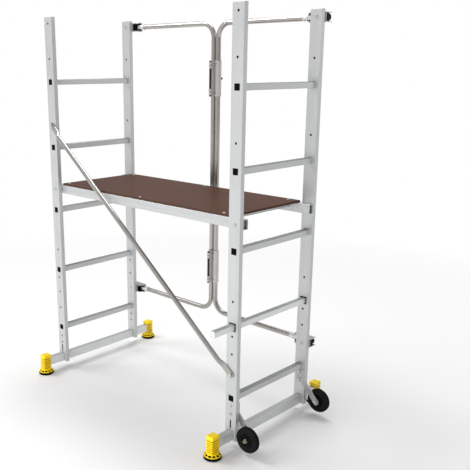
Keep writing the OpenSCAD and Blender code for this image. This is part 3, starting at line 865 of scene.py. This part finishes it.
    def piece(self, name: str, material: bpy.types.Material, smooth: float = 32.0) -> bpy.types.Object:
        """Finishes the mesh.

        Args:
            name: The piece's name.
            material: Its finish.
            smooth: Edges sharper than this angle, in degrees, stay sharp.

        Returns:
            The new object.
        """
        bmesh.ops.recalc_face_normals(self.mesh, faces=self.mesh.faces)
        data = bpy.data.meshes.new(name)
        self.mesh.to_mesh(data)
        self.mesh.free()
        data.materials.clear()
        data.materials.append(material)
        data.polygons.foreach_set("material_index", [0] * len(data.polygons))
        data.shade_smooth()
        data.set_sharp_from_angle(angle=math.radians(smooth))
        made = bpy.data.objects.new(name, data)
        bpy.context.scene.collection.objects.link(made)
        weighted = made.modifiers.new("weighted", "WEIGHTED_NORMAL")
        weighted.keep_sharp = True
        weighted.weight = 80
        return made


class Fitter:
    """Puts pieces on their bodies, in place of the nodes that they stand for."""

    def __init__(self) -> None:
        """Reads which body and slot each node has."""
        record = frame["record"]
        self.body = {n: b for b, names in record["behaviour"]["bodies"].items() for n in names}
        self.slot = {s["node"]: s["material_slot"] for s in record["subparts"]}

    def fit(self, piece: bpy.types.Object, node: str) -> None:
        """Lets a piece stand for a node, on the node's body.

        Args:
            piece: The visual piece.
            node: The CAD node that it stands for.
        """
        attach(piece, self.body[node])
        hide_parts(node)
        LOG.info("%s: %d faces, on %s", piece.name, len(piece.data.polygons), self.body[node])


# ---- Sub-assemblies ----


@dataclass
class SoftenedNodes:
    """Nodes whose shape is right and only want rounded edges and a finish."""

    fitter: Fitter
    groups: Sequence[tuple[Sequence[str], float, bpy.types.Material]]
    wall: float = 0.35 * MM

    def build(self) -> None:
        """Makes one piece for each node."""
        for nodes, width, material in self.groups:
            for node in nodes:
                shape = Shape().soften(node, width)
                if node.endswith("stile"):
                    shape.shade_inside(node, self.wall)
                self.fitter.fit(shape.piece(f"{node}_fine", material), node)


@dataclass
class Rungs:
    """Square rungs with ridged treads, swaged against the stiles by collars."""

    fitter: Fitter
    finishes: Finishes
    side: float
    ridge_pitch: float = 2.6 * MM
    ridge_depth: float = 0.7 * MM
    corner: float = 1.6 * MM
    hollow: float = 0.7
    lid: float = 3.0 * MM
    sunk: float = 0.6 * MM
    collar: float = 2.5 * MM
    collar_corner: float = 3.4 * MM
    bar_corner: float = 4.5 * MM
    bar_bevel: float = 1.2 * MM
    bar_hollow: float = 0.86
    bush_gap: float = 0.3 * MM
    bush_rim: float = 1.6 * MM
    bush_depth: float = 19.6 * MM
    plug_depth: float = 13 * MM

    def outline(self) -> list[Point]:
        """The rung's outline, with ridges on its upper and lower faces.

        Returns:
            Points in order.
        """
        half = self.side / 2
        points: list[Point] = []
        count = int((self.side - 2 * self.corner) / self.ridge_pitch)
        start = -count * self.ridge_pitch / 2
        for sign in (-1, 1):
            tread: list[Point] = [(-half, half - self.corner), (-half + self.corner, half)]
            for number in range(count):
                left = start + number * self.ridge_pitch
                for share, depth in ((0.12, 0.0), (0.3, 1.0), (0.7, 1.0), (0.88, 0.0)):
                    tread.append((left + share * self.ridge_pitch, half - depth * self.ridge_depth))
            tread += [(half - self.corner, half), (half, half - self.corner)]
            points += [(-sign * u, -sign * w) for u, w in tread]
        return points

    def rung(self, node: str) -> None:
        """Makes the rung that stands for a node.

        Args:
            node: The CAD node that it stands for.
        """
        box = Box.of(node)
        centre = Vector((box.middle.x, box.low.y + self.sunk, box.middle.z))
        rear = box.high.y - self.sunk
        shape = Shape().bar(self.outline(), Axis.Y, centre, rear, 0.3 * MM, self.hollow)
        front = Box.of(f"{node.split('_')[0]}_front_stile").high.y
        ring = rounded_square(self.side / 2 + self.collar, self.collar_corner)
        for at in (front, box.low.y + box.high.y - front - self.collar):
            start = Vector((centre.x, at, centre.z))
            shape.bar(ring, Axis.Y, start, at + self.collar, 0.7 * MM, 0.82)
        self.fitter.fit(shape.piece(f"{node}_ridged", self.finishes.tread, 25.0), node)

    def step_bar(self, node: str) -> None:
        """Makes the sliding step bar, with round edges, a groove along its top and a closed front end.

        Args:
            node: The CAD node that it stands for.
        """
        box = Box.of(node)
        half = self.side / 2
        outline = [(-u, w) for u, w in reversed(rounded_square(half, self.bar_corner, 6))]
        outline = self.insert(outline, [(u * MM, half - depth * MM) for u, depth in BAR_NOTCH])
        front, rear, bevel = box.low.y, box.high.y, self.bar_bevel
        broken = 1 - bevel / half
        stations = ((broken, front), (1.0, front + bevel), (1.0, rear - bevel), (broken, rear),
                    (self.bar_hollow, rear), (self.bar_hollow, front + self.lid))
        rings = [[Vector((box.middle.x + scale * u, at, box.middle.z + scale * w))
                  for u, w in outline]
                 for scale, at in stations]
        shape = Shape().loft(rings, edges=(0, 2))
        self.fitter.fit(shape.piece(f"{node}_grooved", self.finishes.beam, 25.0), node)

    @staticmethod
    def insert(outline: Sequence[Point], notch: Sequence[Point]) -> list[Point]:
        """Puts a notch into the flat upper side of an anticlockwise outline.

        Args:
            outline: Points in order, from any of them.
            notch: Points to put in, in the same order.

        Returns:
            The outline with the notch.
        """
        points = list(outline)
        for number in range(len(points)):
            first, second = points[number - 1], points[number]
            flat = abs(first[1] - second[1]) < 1e-7
            if flat and first[1] > 0 and first[0] - second[0] > 5 * MM:
                return points[:number] + list(notch) + points[number:]
        return points

    def bushes(self, node: str) -> None:
        """Makes the step bar's bushes, each with a thin round-cornered rim outside the stile.

        Args:
            node: The CAD node that it stands for.
        """
        box = Box.of(node)
        stile = Box.of("right_front_stile")
        shape = Shape()
        inner = self.side / 2 + self.bush_gap
        wall = box.size.x / 2 - 2 * MM
        rim, deep = -self.bush_rim, self.bush_depth
        steps = ((inner, 0.0), (inner + 1.0 * MM, rim), (wall - 0.6 * MM, rim),
                 (wall, rim + 0.6 * MM), (wall, deep), (inner, deep))
        for face, inward in ((stile.low.y, 1), (box.low.y + box.high.y - stile.low.y, -1)):
            rings = []
            for size, depth in steps:
                outline = rounded_square(size, 5.0 * MM + size - inner, 6)
                y = face + inward * depth
                rings.append([Vector((box.middle.x + u, y, box.middle.z + w)) for u, w in outline])
            shape.loft(rings, loop=True, edges=(0, 2))
        self.fitter.fit(shape.piece(f"{node}_rounded", self.finishes.black), node)

    def plugs(self, node: str, rungs: Sequence[str]) -> None:
        """Makes the plugs that close the rungs' ends, flush with the stiles.

        Args:
            node: The CAD node that it stands for.
            rungs: The rungs' nodes.
        """
        box = Box.of(node)
        shape = Shape()
        half = self.side / 2
        head, stem = half - 0.1 * MM, self.hollow * half - 0.1 * MM
        steps = ((stem, self.plug_depth), (stem, self.sunk), (head, self.sunk), (head, 0.2 * MM),
                 (head - 0.2 * MM, 0.0), (head - 3.4 * MM, 0.0), (head - 4.0 * MM, 0.4 * MM))
        for rung in rungs:
            centre = Box.of(rung).middle
            for face, inward in ((box.low.y, 1), (box.high.y, -1)):
                rings = []
                for size, depth in steps:
                    y = face + inward * depth
                    outline = rounded_square(size, 0.34 * size)
                    rings.append([Vector((centre.x + u, y, centre.z + w)) for u, w in outline])
                shape.loft(rings, edges=(3, 5))
        self.fitter.fit(shape.piece(f"{node}_moulded", self.finishes.plug), node)

    def build(self) -> None:
        """Makes every rung, plug and the step bar."""
        sides = {side: sorted(n for n in frame["nodes"]
                              if n.startswith(f"{side}_rung_") and n[-1].isdigit())
                 for side in ("left", "right")}
        for rungs in sides.values():
            for name in rungs:
                self.rung(name)
        for side, rungs in sides.items():
            self.plugs(f"{side}_rung_plugs", rungs)
        self.step_bar("step_bar")
        self.bushes("step_bar_bushes")


@dataclass
class BentTube:
    """One half of the guard: a tube with two round bends."""

    fitter: Fitter
    finishes: Finishes
    bend: float = 65 * MM
    bend_steps: int = 20
    sides: int = 48

    def path(self, box: Box, inward: int) -> list[tuple[Vector, Vector]]:
        """Points and directions along the tube's centre line.

        Args:
            box: The tube's box.
            inward: The way to the hinge along X, 1 or -1.

        Returns:
            Each point with its direction.
        """
        radius = box.size.y / 2
        y = box.middle.y
        outer = box.low.x if inward > 0 else box.high.x
        upright = box.high.x - radius if inward > 0 else box.low.x + radius
        low, high = box.low.z + radius, box.high.z - radius
        turn = upright - inward * self.bend
        points = [(Vector((outer, y, low)), Vector((inward, 0, 0)))]
        for centre_z, first in ((low + self.bend, -math.pi / 2), (high - self.bend, 0.0)):
            for step in range(self.bend_steps + 1):
                angle = first + step / self.bend_steps * math.pi / 2
                place = Vector((turn + inward * self.bend * math.cos(angle), y,
                                centre_z + self.bend * math.sin(angle)))
                points.append((place, Vector((-inward * math.sin(angle), 0, math.cos(angle)))))
        points.append((Vector((outer, y, high)), Vector((-inward, 0, 0))))
        return points

    def build(self, node: str, inward: int) -> None:
        """Makes the tube that stands for a node.

        Args:
            node: The CAD node that it stands for.
            inward: The way along X to the guard's middle.
        """
        box = Box.of(node)
        radius = box.size.y / 2
        rings = []
        for place, way in self.path(box, inward):
            side = way.cross(Vector((0, 1, 0))).normalized()
            rings.append([place + u * side + v * Vector((0, 1, 0))
                          for u, v in circle(radius, self.sides)])
        self.fitter.fit(Shape().loft(rings).piece(f"{node}_bent", self.finishes.tube, 40.0), node)


@dataclass
class DiagonalBrace:
    """A round tube pressed flat at both ends: an eye at the foot and a hook at the head."""

    fitter: Fitter
    finishes: Finishes
    flat_width: float = 26 * MM
    flat_thick: float = 5 * MM
    flat_length: float = 46 * MM
    blend_length: float = 34 * MM
    gap: float = 1.5 * MM
    clear: float = 1 * MM
    hook: float = 5.5 * MM
    hook_lip: float = 0.8 * MM
    eye: float = 4.05 * MM
    edge: float = 0.6 * MM
    sides: int = 40
    blend_steps: int = 12

    def section(self, along: float, length: float, radius: float) -> list[Point]:
        """The tube's outline at a distance along it, from a flat to a round one.

        Args:
            along: Distance from the tube's first end.
            length: The tube's length.
            radius: Its radius where it is round.

        Returns:
            Points in order.
        """
        inside = min(along, length - along) - self.flat_length
        share = max(0.0, min(1.0, inside / self.blend_length))
        share = share * share * (3 - 2 * share)
        half_w = self.flat_width / 2 * (1 - share) + radius * share
        half_t = self.flat_thick / 2 * (1 - share) + radius * share
        power = 0.35 + 0.65 * share
        lift = self.gap + self.flat_thick / 2 + share * (radius + self.clear - self.flat_thick / 2)
        return [(math.copysign(abs(u) ** power, u) * half_w,
                 math.copysign(abs(v) ** power, v) * half_t - lift) for u, v in circle(1.0, self.sides)]

    def plate(self, slot: bool) -> bpy.types.Mesh:
        """A flat end with an eye or with an open slot, along +X from the eye's centre.

        Args:
            slot: Whether it has an open slot in place of the eye.

        Returns:
            The mesh.
        """
        curve = bpy.data.curves.new("flat_end", "CURVE")
        curve.dimensions = "2D"
        curve.fill_mode = "BOTH"
        curve.bevel_depth = self.edge
        curve.bevel_resolution = 1
        curve.offset = -self.edge
        curve.extrude = self.flat_thick / 2 - curve.bevel_depth
        half = self.flat_width / 2
        outer = arc(half, math.pi / 2, math.pi, 24)
        tail = self.flat_length + 2 * MM
        if slot:
            cut = [(-self.hook, -half)] + arc(self.hook, math.pi, -math.pi, 16) + [(self.hook, -half)]
            head = [(u, w) for u, w in outer if w >= 0 or u <= -self.hook - self.hook_lip]
            self._spline(curve, [(tail, half)] + head + cut + [(tail, -half)])
        else:
            self._spline(curve, [(tail, half)] + outer + [(tail, -half)])
            self._spline(curve, circle(self.eye, 32))
        holder = bpy.data.objects.new("flat_end", curve)
        bpy.context.scene.collection.objects.link(holder)
        graph = bpy.context.evaluated_depsgraph_get()
        made = bpy.data.meshes.new_from_object(holder.evaluated_get(graph))
        bpy.data.objects.remove(holder)
        bpy.data.curves.remove(curve)
        return made

    @staticmethod
    def _spline(curve: bpy.types.Curve, points: Sequence[Point]) -> None:
        """Adds a closed outline to a curve.

        Args:
            curve: The curve to add to.
            points: The outline's points in order.
        """
        spline = curve.splines.new("POLY")
        spline.points.add(len(points) - 1)
        for slot, (u, v) in zip(spline.points, points):
            slot.co = (u, v, 0.0, 1.0)
        spline.use_cyclic_u = True

    def build(self, node: str, foot_bolt: str, head_stud: str) -> None:
        """Makes the brace between its bolt and its stud.

        Args:
            node: The CAD node that it stands for.
            foot_bolt: The bolt's node.
            head_stud: The stud's node.
        """
        foot, head, box = Box.of(foot_bolt), Box.of(head_stud), Box.of(node)
        face = Box.of("left_front_stile").low.y
        start = Vector((foot.middle.x, face, foot.middle.z))
        run = Vector((head.middle.x - foot.middle.x, 0, head.middle.z - foot.middle.z))
        length, way = run.length, run.normalized()
        up = way.cross(Vector((0, 1, 0))).normalized()
        up = up if up.z > 0 else -up
        radius = (face - box.low.y - self.gap - self.clear) / 2
        stops = [self.flat_length + self.blend_length * i / self.blend_steps
                 for i in range(self.blend_steps + 1)]
        stops += [length - s for s in reversed(stops)]
        rings = []
        for along in stops:
            outline = self.section(along, length, radius)
            rings.append([start + way * along + up * u + Vector((0, v, 0)) for u, v in outline])
        shape = Shape().loft(rings)
        centre_y = face - self.gap - self.flat_thick / 2
        for origin, direction, slot in ((start, way, False), (start + run, -way, True)):
            place = Matrix.Translation((origin.x, centre_y, origin.z)) @ self._turn(direction, up)
            data = self.plate(slot)
            data.transform(place)
            shape.mesh.from_mesh(data)
        bmesh.ops.remove_doubles(shape.mesh, verts=shape.mesh.verts, dist=1e-6)
        self.fitter.fit(shape.piece(f"{node}_pressed", self.finishes.tube, 40.0), node)

    @staticmethod
    def _turn(direction: Vector, up: Vector) -> Matrix:
        """The turn that lays a plate's length along a direction and its width along up."""
        third = direction.cross(up)
        return Matrix((direction, up, third)).transposed().to_4x4()


@dataclass
class Feet:
    """Yellow plastic feet over the beams' ends, each on a spoked ring and a treaded rubber sole."""

    fitter: Fitter
    finishes: Finishes
    half_x: float = 18 * MM
    half_y: float = 21 * MM
    neck: float = 11 * MM
    cap: float = 11 * MM
    cap_over: float = 0.2 * MM
    rib_pitch: float = 9.5 * MM
    rib_depth: float = 4.2 * MM
    rib_share: float = 0.54
    spokes: int = 10
    lugs: int = 24
    lug: float = 2.2 * MM

    def centres(self, side: str) -> list[Vector]:
        """Each foot's centre on the floor.

        Args:
            side: The frame's name.

        Returns:
            The centres, the front foot first.
        """
        soles = Box.of(f"{side}_foot_soles")
        radius = soles.size.x / 2
        return [Vector((soles.middle.x, y, 0)) for y in (soles.low.y + radius, soles.high.y - radius)]

    def slab(self, shape: Shape, centre: Vector, over: float, heights: tuple[float, float],
             radius: float, segments: int = 2, sunk: bool = False) -> None:
        """Adds a slab of a foot's outline to a shape.

        Args:
            shape: The shape to add to.
            centre: The foot's centre on the floor.
            over: How far it stands out beyond the foot's sides.
            heights: Its lower and upper face.
            radius: The radius of its edges.
            segments: Segments in each rounded edge.
            sunk: Whether it lies deeper than its neighbours.
        """
        half = Vector((self.half_x + over, self.half_y + over, 0))
        low, high = (Vector((centre.x, centre.y, z)) for z in heights)
        shape.block(low - half, high + half, radius, segments, sunk)

    def foot(self, shape: Shape, centre: Vector, top: float, sole_top: float) -> None:
        """Adds one foot to a shape.

        Args:
            shape: The shape to add to.
            centre: The foot's centre on the floor.
            top: The foot's upper face.
            sole_top: The sole's upper face.
        """
        neck = sole_top + self.neck
        # The core behind the ribs is sunk, so its finish paints shade into the gaps between the ribs.
        self.slab(shape, centre, -self.rib_depth, (neck - 4 * MM, top - 1 * MM), 2 * MM, sunk=True)
        count = int((top - neck - self.cap) / self.rib_pitch)
        for level in range(count):
            low = neck + level * self.rib_pitch
            self.slab(shape, centre, 0.0, (low, low + self.rib_share * self.rib_pitch), 1 * MM)
        self.slab(shape, centre, self.cap_over, (neck + count * self.rib_pitch, top), 3.6 * MM, 4)
        for profile in (FOOT_RIM, FOOT_HUB):
            shape.lathe([(r * MM, sole_top + h * MM) for r, h in profile], Axis.Z, centre, 56)
        for number in range(self.spokes):
            turn = Matrix.Rotation((number + 0.5) * math.tau / self.spokes, 3, "Z")
            rings = []
            for r, low, high, wide in FOOT_SPOKE:
                ring = [(-wide, low), (wide, low), (wide * 0.8, high), (-wide * 0.8, high)]
                rings.append([centre + turn @ Vector((r * MM, u * MM, sole_top + w * MM))
                              for u, w in ring])
            shape.loft(rings)

    def sole(self, shape: Shape, centre: Vector, radius: float, height: float) -> None:
        """Adds one rubber sole with a grooved flank.

        Args:
            shape: The shape to add to.
            centre: The foot's centre on the floor.
            radius: The sole's radius.
            height: Its upper face.
        """
        outline = [(radius - inset * MM, level * MM) for inset, level in SOLE_FLANK]
        outline += [(radius - 2.2 * MM, height - 0.8 * MM), (radius - 3.4 * MM, height)]
        peak = height + 7.6 * MM
        cone = [(31.0 * MM, height + 0.2 * MM), (23.0 * MM, peak), (0.0, peak)]
        shape.lathe([(0.0, 0.0)] + outline + cone, Axis.Z, centre, 72, edges=(7, 8))
        lug, low, high = self.lug, 1.4 * MM, 8.6 * MM
        for number in range(self.lugs):
            turn = Matrix.Rotation(number * math.tau / self.lugs, 3, "Z")
            rings = []
            for r in (radius - 3.0 * MM, radius - 0.05 * MM):
                ring = [(-lug, low), (lug, low), (lug, high), (-lug, high)]
                rings.append([centre + turn @ Vector((r, u, w)) for u, w in ring])
            shape.loft(rings)

    def build(self) -> None:
        """Makes the feet and soles of both frames."""
        for side in ("left", "right"):
            upper, lower = f"{side}_feet", f"{side}_foot_soles"
            box, soles = Box.of(upper), Box.of(lower)
            feet, rubber = Shape(), Shape()
            for centre in self.centres(side):
                self.foot(feet, centre, box.high.z, soles.high.z)
                self.sole(rubber, centre, soles.size.x / 2, soles.high.z)
            self.fitter.fit(feet.piece(f"{upper}_ribbed", self.finishes.yellow), upper)
            self.fitter.fit(rubber.piece(f"{lower}_treaded", self.finishes.rubber), lower)


@dataclass
class Wheel:
    """A rubber-tyred wheel with a dished plastic hub."""

    fitter: Fitter
    finishes: Finishes
    hub_radius: float = 33 * MM
    bore: float = 6.05 * MM
    ribs: int = 8
    shoulder: float = 5.2 * MM

    def tyre(self, node: str) -> None:
        """Makes the tyre, with two grooves in its tread and a ring on each side.

        Args:
            node: The CAD node that it stands for.
        """
        box = Box.of(node)
        outer, half = box.size.z / 2, box.size.y / 2
        inner = self.hub_radius + 0.1 * MM
        side = [(inner, half - 1.2 * MM), (inner + 1.0 * MM, half - 0.2 * MM)]
        side += [(outer - down * MM, half - inset * MM) for down, inset in TYRE_RING]
        for across, along in arc(1.0, 0.0, math.radians(68), 7):
            side.append((outer - 5.4 * MM + 5.0 * MM * along, half - self.shoulder * (1 - across)))
        side += [(outer - depth * MM, half * share) for depth, share in TYRE_GROOVE]
        profile = side + [(r, -h) for r, h in reversed(side)]
        shape = Shape().lathe(profile, Axis.Y, box.middle, 96)
        self.fitter.fit(shape.piece(f"{node}_grooved", self.finishes.tyre), node)

    def hub(self, node: str) -> None:
        """Makes the hub: a rim, a thin web with ribs and a boss round the axle.

        Args:
            node: The CAD node that it stands for.
        """
        box = Box.of(node)
        half = box.size.y / 2
        side = [(self.bore, half)] + [(r * MM, half - inset * MM) for r, inset in HUB_SIDE]
        profile = side + [(r, -h) for r, h in reversed(side)]
        shape = Shape().lathe(profile, Axis.Y, box.middle, 96, edges=(1, 7, 9, 11, 13, 19))
        for number in range(self.ribs):
            turn = Matrix.Rotation(number * math.tau / self.ribs, 3, "Y")
            for sign in (-1, 1):
                rings = []
                for radius, inset in HUB_RIB:
                    low, high = half - 6.4 * MM, half - inset * MM
                    ring = [(-1.3 * MM, low), (1.3 * MM, low), (0.9 * MM, high), (-0.9 * MM, high)]
                    rings.append([box.middle + turn @ Vector((radius * MM, sign * h, u))
                                  for u, h in ring])
                shape.loft(rings)
        self.fitter.fit(shape.piece(f"{node}_ribbed", self.finishes.black), node)

    def build(self, side: str) -> None:
        """Makes the wheel on one side."""
        self.tyre(f"{side}_tyre")
        self.hub(f"{side}_hub")


@dataclass
class Rails:
    """The deck's two side rails: hollow sections with a channel for the bolts in their outer faces."""

    fitter: Fitter
    finishes: Finishes
    wall: float = 2.0 * MM
    channel: float = 9.2 * MM
    depth: float = 1.6 * MM
    corner: float = 0.7 * MM
    lip: float = 0.3 * MM

    def build(self, node: str, outward: int) -> None:
        """Makes the rail that stands for a node.

        Args:
            node: The node's name.
            outward: The way from the deck to the rail's outer face along Y.
        """
        box = Box.of(node)
        half_w, half_h = box.size.y / 2, box.size.z / 2
        channel = self.channel / 2
        outer = self.outline(half_w, half_h, channel)
        inner = self.outline(half_w - self.wall, half_h - self.wall, channel + self.wall)
        rings = []
        for outline, at in ((outer, box.low.x), (outer, box.high.x),
                            (inner, box.high.x), (inner, box.low.x)):
            rings.append([Vector((at, box.middle.y + outward * u, box.middle.z + v))
                          for u, v in outline])
        shape = Shape().loft(rings, loop=True)
        self.fitter.fit(shape.piece(f"{node}_drawn", self.finishes.lengthwise), node)

    def outline(self, out: float, up: float, channel: float) -> list[Point]:
        """The rail's outline, with the channel in its outer side.

        Args:
            out: Half of its width.
            up: Half of its height.
            channel: Half of the channel's width.

        Returns:
            Points in order, out from the deck and up.
        """
        corner, lip = self.corner, self.lip
        half = [(out - self.depth, channel), (out - lip, channel), (out, channel + lip),
                (out, up - corner), (out - corner, up), (corner - out, up), (-out, up - corner)]
        return half + [(u, -v) for u, v in reversed(half)]


@dataclass
class Rivets:
    """Domed rivets that hold the deck board to its rails."""

    fitter: Fitter
    finishes: Finishes
    radius: float = 6 * MM
    shank: float = 2.5 * MM
    rise: float = 0.6 * MM

    def build(self, node: str, board: str) -> None:
        """Makes a domed rivet at each of a node's loose parts.

        Args:
            node: The CAD node that it stands for.
            board: The node of the board that they sit in.
        """
        box, top = Box.of(node), Box.of(board).high.z
        mesh = frame["nodes"][node].data
        columns = sorted({round(v.co.x, 2) for v in mesh.vertices})
        low, bottom = box.low.z - top, self.rise * 0.35
        dome = [(self.radius * u, self.rise * w) for u, w in arc(1.0, 0.0, math.radians(80), 6)]
        dimple = [(1.6 * MM, self.rise), (1.3 * MM, bottom), (0.0, bottom)]
        profile = [(0.0, low), (self.shank, low), (self.shank, 0.0)] + dome + dimple
        shape = Shape()
        for x in (sum(group) / len(group) for group in self._near(columns)):
            for y in (box.low.y + self.radius, box.high.y - self.radius):
                shape.lathe(profile, Axis.Z, Vector((x, y, top)), 28)
        self.fitter.fit(shape.piece(f"{node}_domed", self.finishes.rivet, 50.0), node)

    def _near(self, values: Sequence[float]) -> list[list[float]]:
        """Groups sorted values that lie closer together than two rivet heads.

        Args:
            values: Coordinates in rising order.

        Returns:
            The groups in the same order.
        """
        groups: list[list[float]] = []
        for value in values:
            if groups and value - groups[-1][-1] < 2 * self.radius:
                groups[-1].append(value)
            else:
                groups.append([value])
        return groups


# ---- Studio ----


@dataclass
class Studio:
    """A pale floor, soft light from the upper left and a camera that looks down a little."""

    eye: tuple[float, float, float] = (2.1833, -2.1940, 1.4897)
    turn: tuple[float, float, float] = (75.11, 0.0, 44.97)
    lens: float = 54.24
    shift: tuple[float, float] = (0.1147, 0.0411)
    floor_half: float = 14.0
    aim_height: float = 0.8
    brighter: tuple[float, float, float] = (-0.62, -0.42, 0.66)
    dim: float = 0.2
    dim_from: float = -0.9
    bright: float = 0.72

    def camera(self) -> None:
        """Places the camera."""
        data = bpy.data.cameras.new("camera")
        data.lens = self.lens
        data.sensor_width = 36.0
        data.shift_x, data.shift_y = self.shift
        data.clip_end = 60.0
        made = bpy.data.objects.new("camera", data)
        made.location = self.eye
        made.rotation_euler = [math.radians(a) for a in self.turn]
        bpy.context.scene.collection.objects.link(made)
        bpy.context.scene.camera = made

    def floor(self) -> None:
        """Makes the floor under the feet."""
        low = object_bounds()[0].z
        half = self.floor_half
        corners = [(-half, -half), (half, -half), (half, half), (-half, half)]
        data = bpy.data.meshes.new("floor")
        data.from_pydata([(x, y, low) for x, y in corners], [], [(0, 1, 2, 3)])
        data.materials.append(StudioFloor("studio_floor").material())
        made = bpy.data.objects.new("floor", data)
        bpy.context.scene.collection.objects.link(made)
        made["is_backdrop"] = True

    def lamp(self, name: str, place: Sequence[float], size: tuple[float, float], power: float,
             glossy: bool = True) -> None:
        """Adds a soft rectangular light aimed at the object's middle, which no camera sees.

        Args:
            name: The light's name.
            place: Where it stands.
            size: Its two sides.
            power: Its power in watts.
            glossy: Whether it is mirrored in shiny surfaces.
        """
        data = bpy.data.lights.new(name, "AREA")
        data.shape = "RECTANGLE"
        data.size, data.size_y = size
        data.energy = power
        made = bpy.data.objects.new(name, data)
        made.location = place
        aim = Vector((0.0, 0.0, min(self.aim_height, place[2]))) - Vector(place)
        made.rotation_euler = aim.to_track_quat("-Z", "Y").to_euler()
        made.visible_camera = False
        made.visible_glossy = glossy
        bpy.context.scene.collection.objects.link(made)

    def sky(self) -> None:
        """Surrounds the object with soft light that is weaker from the wheels' side."""
        world = bpy.data.worlds.new("studio")
        bpy.context.scene.world = world
        world.use_nodes = True
        tree = world.node_tree
        tree.nodes.clear()
        way = tree.nodes.new("ShaderNodeTexCoord")
        lean = tree.nodes.new("ShaderNodeVectorMath")
        lean.operation = "DOT_PRODUCT"
        lean.inputs[1].default_value = Vector(self.brighter).normalized()
        spread = tree.nodes.new("ShaderNodeMapRange")
        spread.inputs["From Min"].default_value = self.dim_from
        spread.inputs["From Max"].default_value = 1.0
        spread.inputs["To Min"].default_value = self.dim
        spread.inputs["To Max"].default_value = self.bright
        ray = tree.nodes.new("ShaderNodeLightPath")
        mix = tree.nodes.new("ShaderNodeMix")
        mix.inputs[3].default_value = 1.0
        back = tree.nodes.new("ShaderNodeBackground")
        back.inputs["Color"].default_value = (1.0, 1.0, 1.0, 1.0)
        output = tree.nodes.new("ShaderNodeOutputWorld")
        tree.links.new(way.outputs["Generated"], lean.inputs[0])
        tree.links.new(lean.outputs["Value"], spread.inputs["Value"])
        tree.links.new(ray.outputs["Is Camera Ray"], mix.inputs[0])
        tree.links.new(spread.outputs[0], mix.inputs[2])
        tree.links.new(mix.outputs[0], back.inputs["Strength"])
        tree.links.new(back.outputs[0], output.inputs["Surface"])

    def build(self) -> None:
        """Makes the whole studio."""
        self.camera()
        self.floor()
        self.sky()
        self.lamp("key_light", (-3.0, -1.6, 4.6), (1.8, 1.8), 104.0)
        self.lamp("low_light", (0.6, -3.7, 0.5), (3.0, 0.6), 105.0, glossy=False)
        self.lamp("top_light", (-0.6, 1.4, 4.6), (2.6, 1.6), 92.0)
        self.lamp("edge_light", (2.6, 3.0, 2.2), (0.8, 2.4), 12.0)
        bpy.context.scene.view_settings.view_transform = "Standard"


def softened(finishes: Finishes) -> list[tuple[list[str], float, bpy.types.Material]]:
    """The nodes that only want rounded edges.

    Args:
        finishes: The scaffold's finishes.

    Returns:
        Groups of nodes, each with the width of its edges and its finish.
    """
    sides = ("left", "right")
    return [
        ([f"{s}_{e}_stile" for s in sides for e in ("front", "rear")], 0.8 * MM, finishes.upright),
        ([f"{s}_stile_caps" for s in sides], 0.6 * MM, finishes.grey),
        ([f"{s}_base_beam" for s in sides], 0.6 * MM, finishes.beam),
        (["deck_cross_members"], 0.4 * MM, finishes.crosswise),
        (["deck_board"], 0.5 * MM, finishes.deck),
        (["wheel_arms"] + [f"{s}_guard_brackets" for s in sides], 0.5 * MM, finishes.plate),
        ([f"{s}_guard_forks" for s in sides], 0.8 * MM, finishes.black),
        ([f"{s}_guard_ends" for s in sides], 0.4 * MM, finishes.collar),
        ([f"{s}_hinge_leaves" for s in sides], 0.4 * MM, finishes.hinge),
        (["hinge_rods"], 0.5 * MM, finishes.black_steel),
        (["hinge_button"], 0.6 * MM, finishes.black),
        ([f"{s}_{n}" for s in sides for n in ("frame_bolts", "guard_pins", "deck_bolts", "leaf_bolts")]
         + ["brace_pivot_bolt", "brace_stud", "wheel_axles"], 0.5 * MM, finishes.bolt),
    ]


def main() -> None:
    """Builds the studio and every sub-assembly in order."""
    logging.basicConfig(level=logging.INFO, format="%(name)s %(message)s")
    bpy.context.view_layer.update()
    studio = Studio()
    studio.build()
    fitter = Fitter()
    finishes = Finishes(Box.of("deck_board").high.z)
    SoftenedNodes(fitter, softened(finishes)).build()
    Rungs(fitter, finishes, Box.of("step_bar").size.x).build()
    guard = BentTube(fitter, finishes)
    guard.build("left_guard_tube", 1)
    guard.build("right_guard_tube", -1)
    DiagonalBrace(fitter, finishes).build("brace", "brace_pivot_bolt", "brace_stud")
    Feet(fitter, finishes).build()
    for side in ("front", "rear"):
        Wheel(fitter, finishes).build(side)
    rails = Rails(fitter, finishes)
    rails.build("front_rail", -1)
    rails.build("rear_rail", 1)
    Rivets(fitter, finishes).build("deck_rivets", "deck_board")


if __name__ == "__main__":
    main()
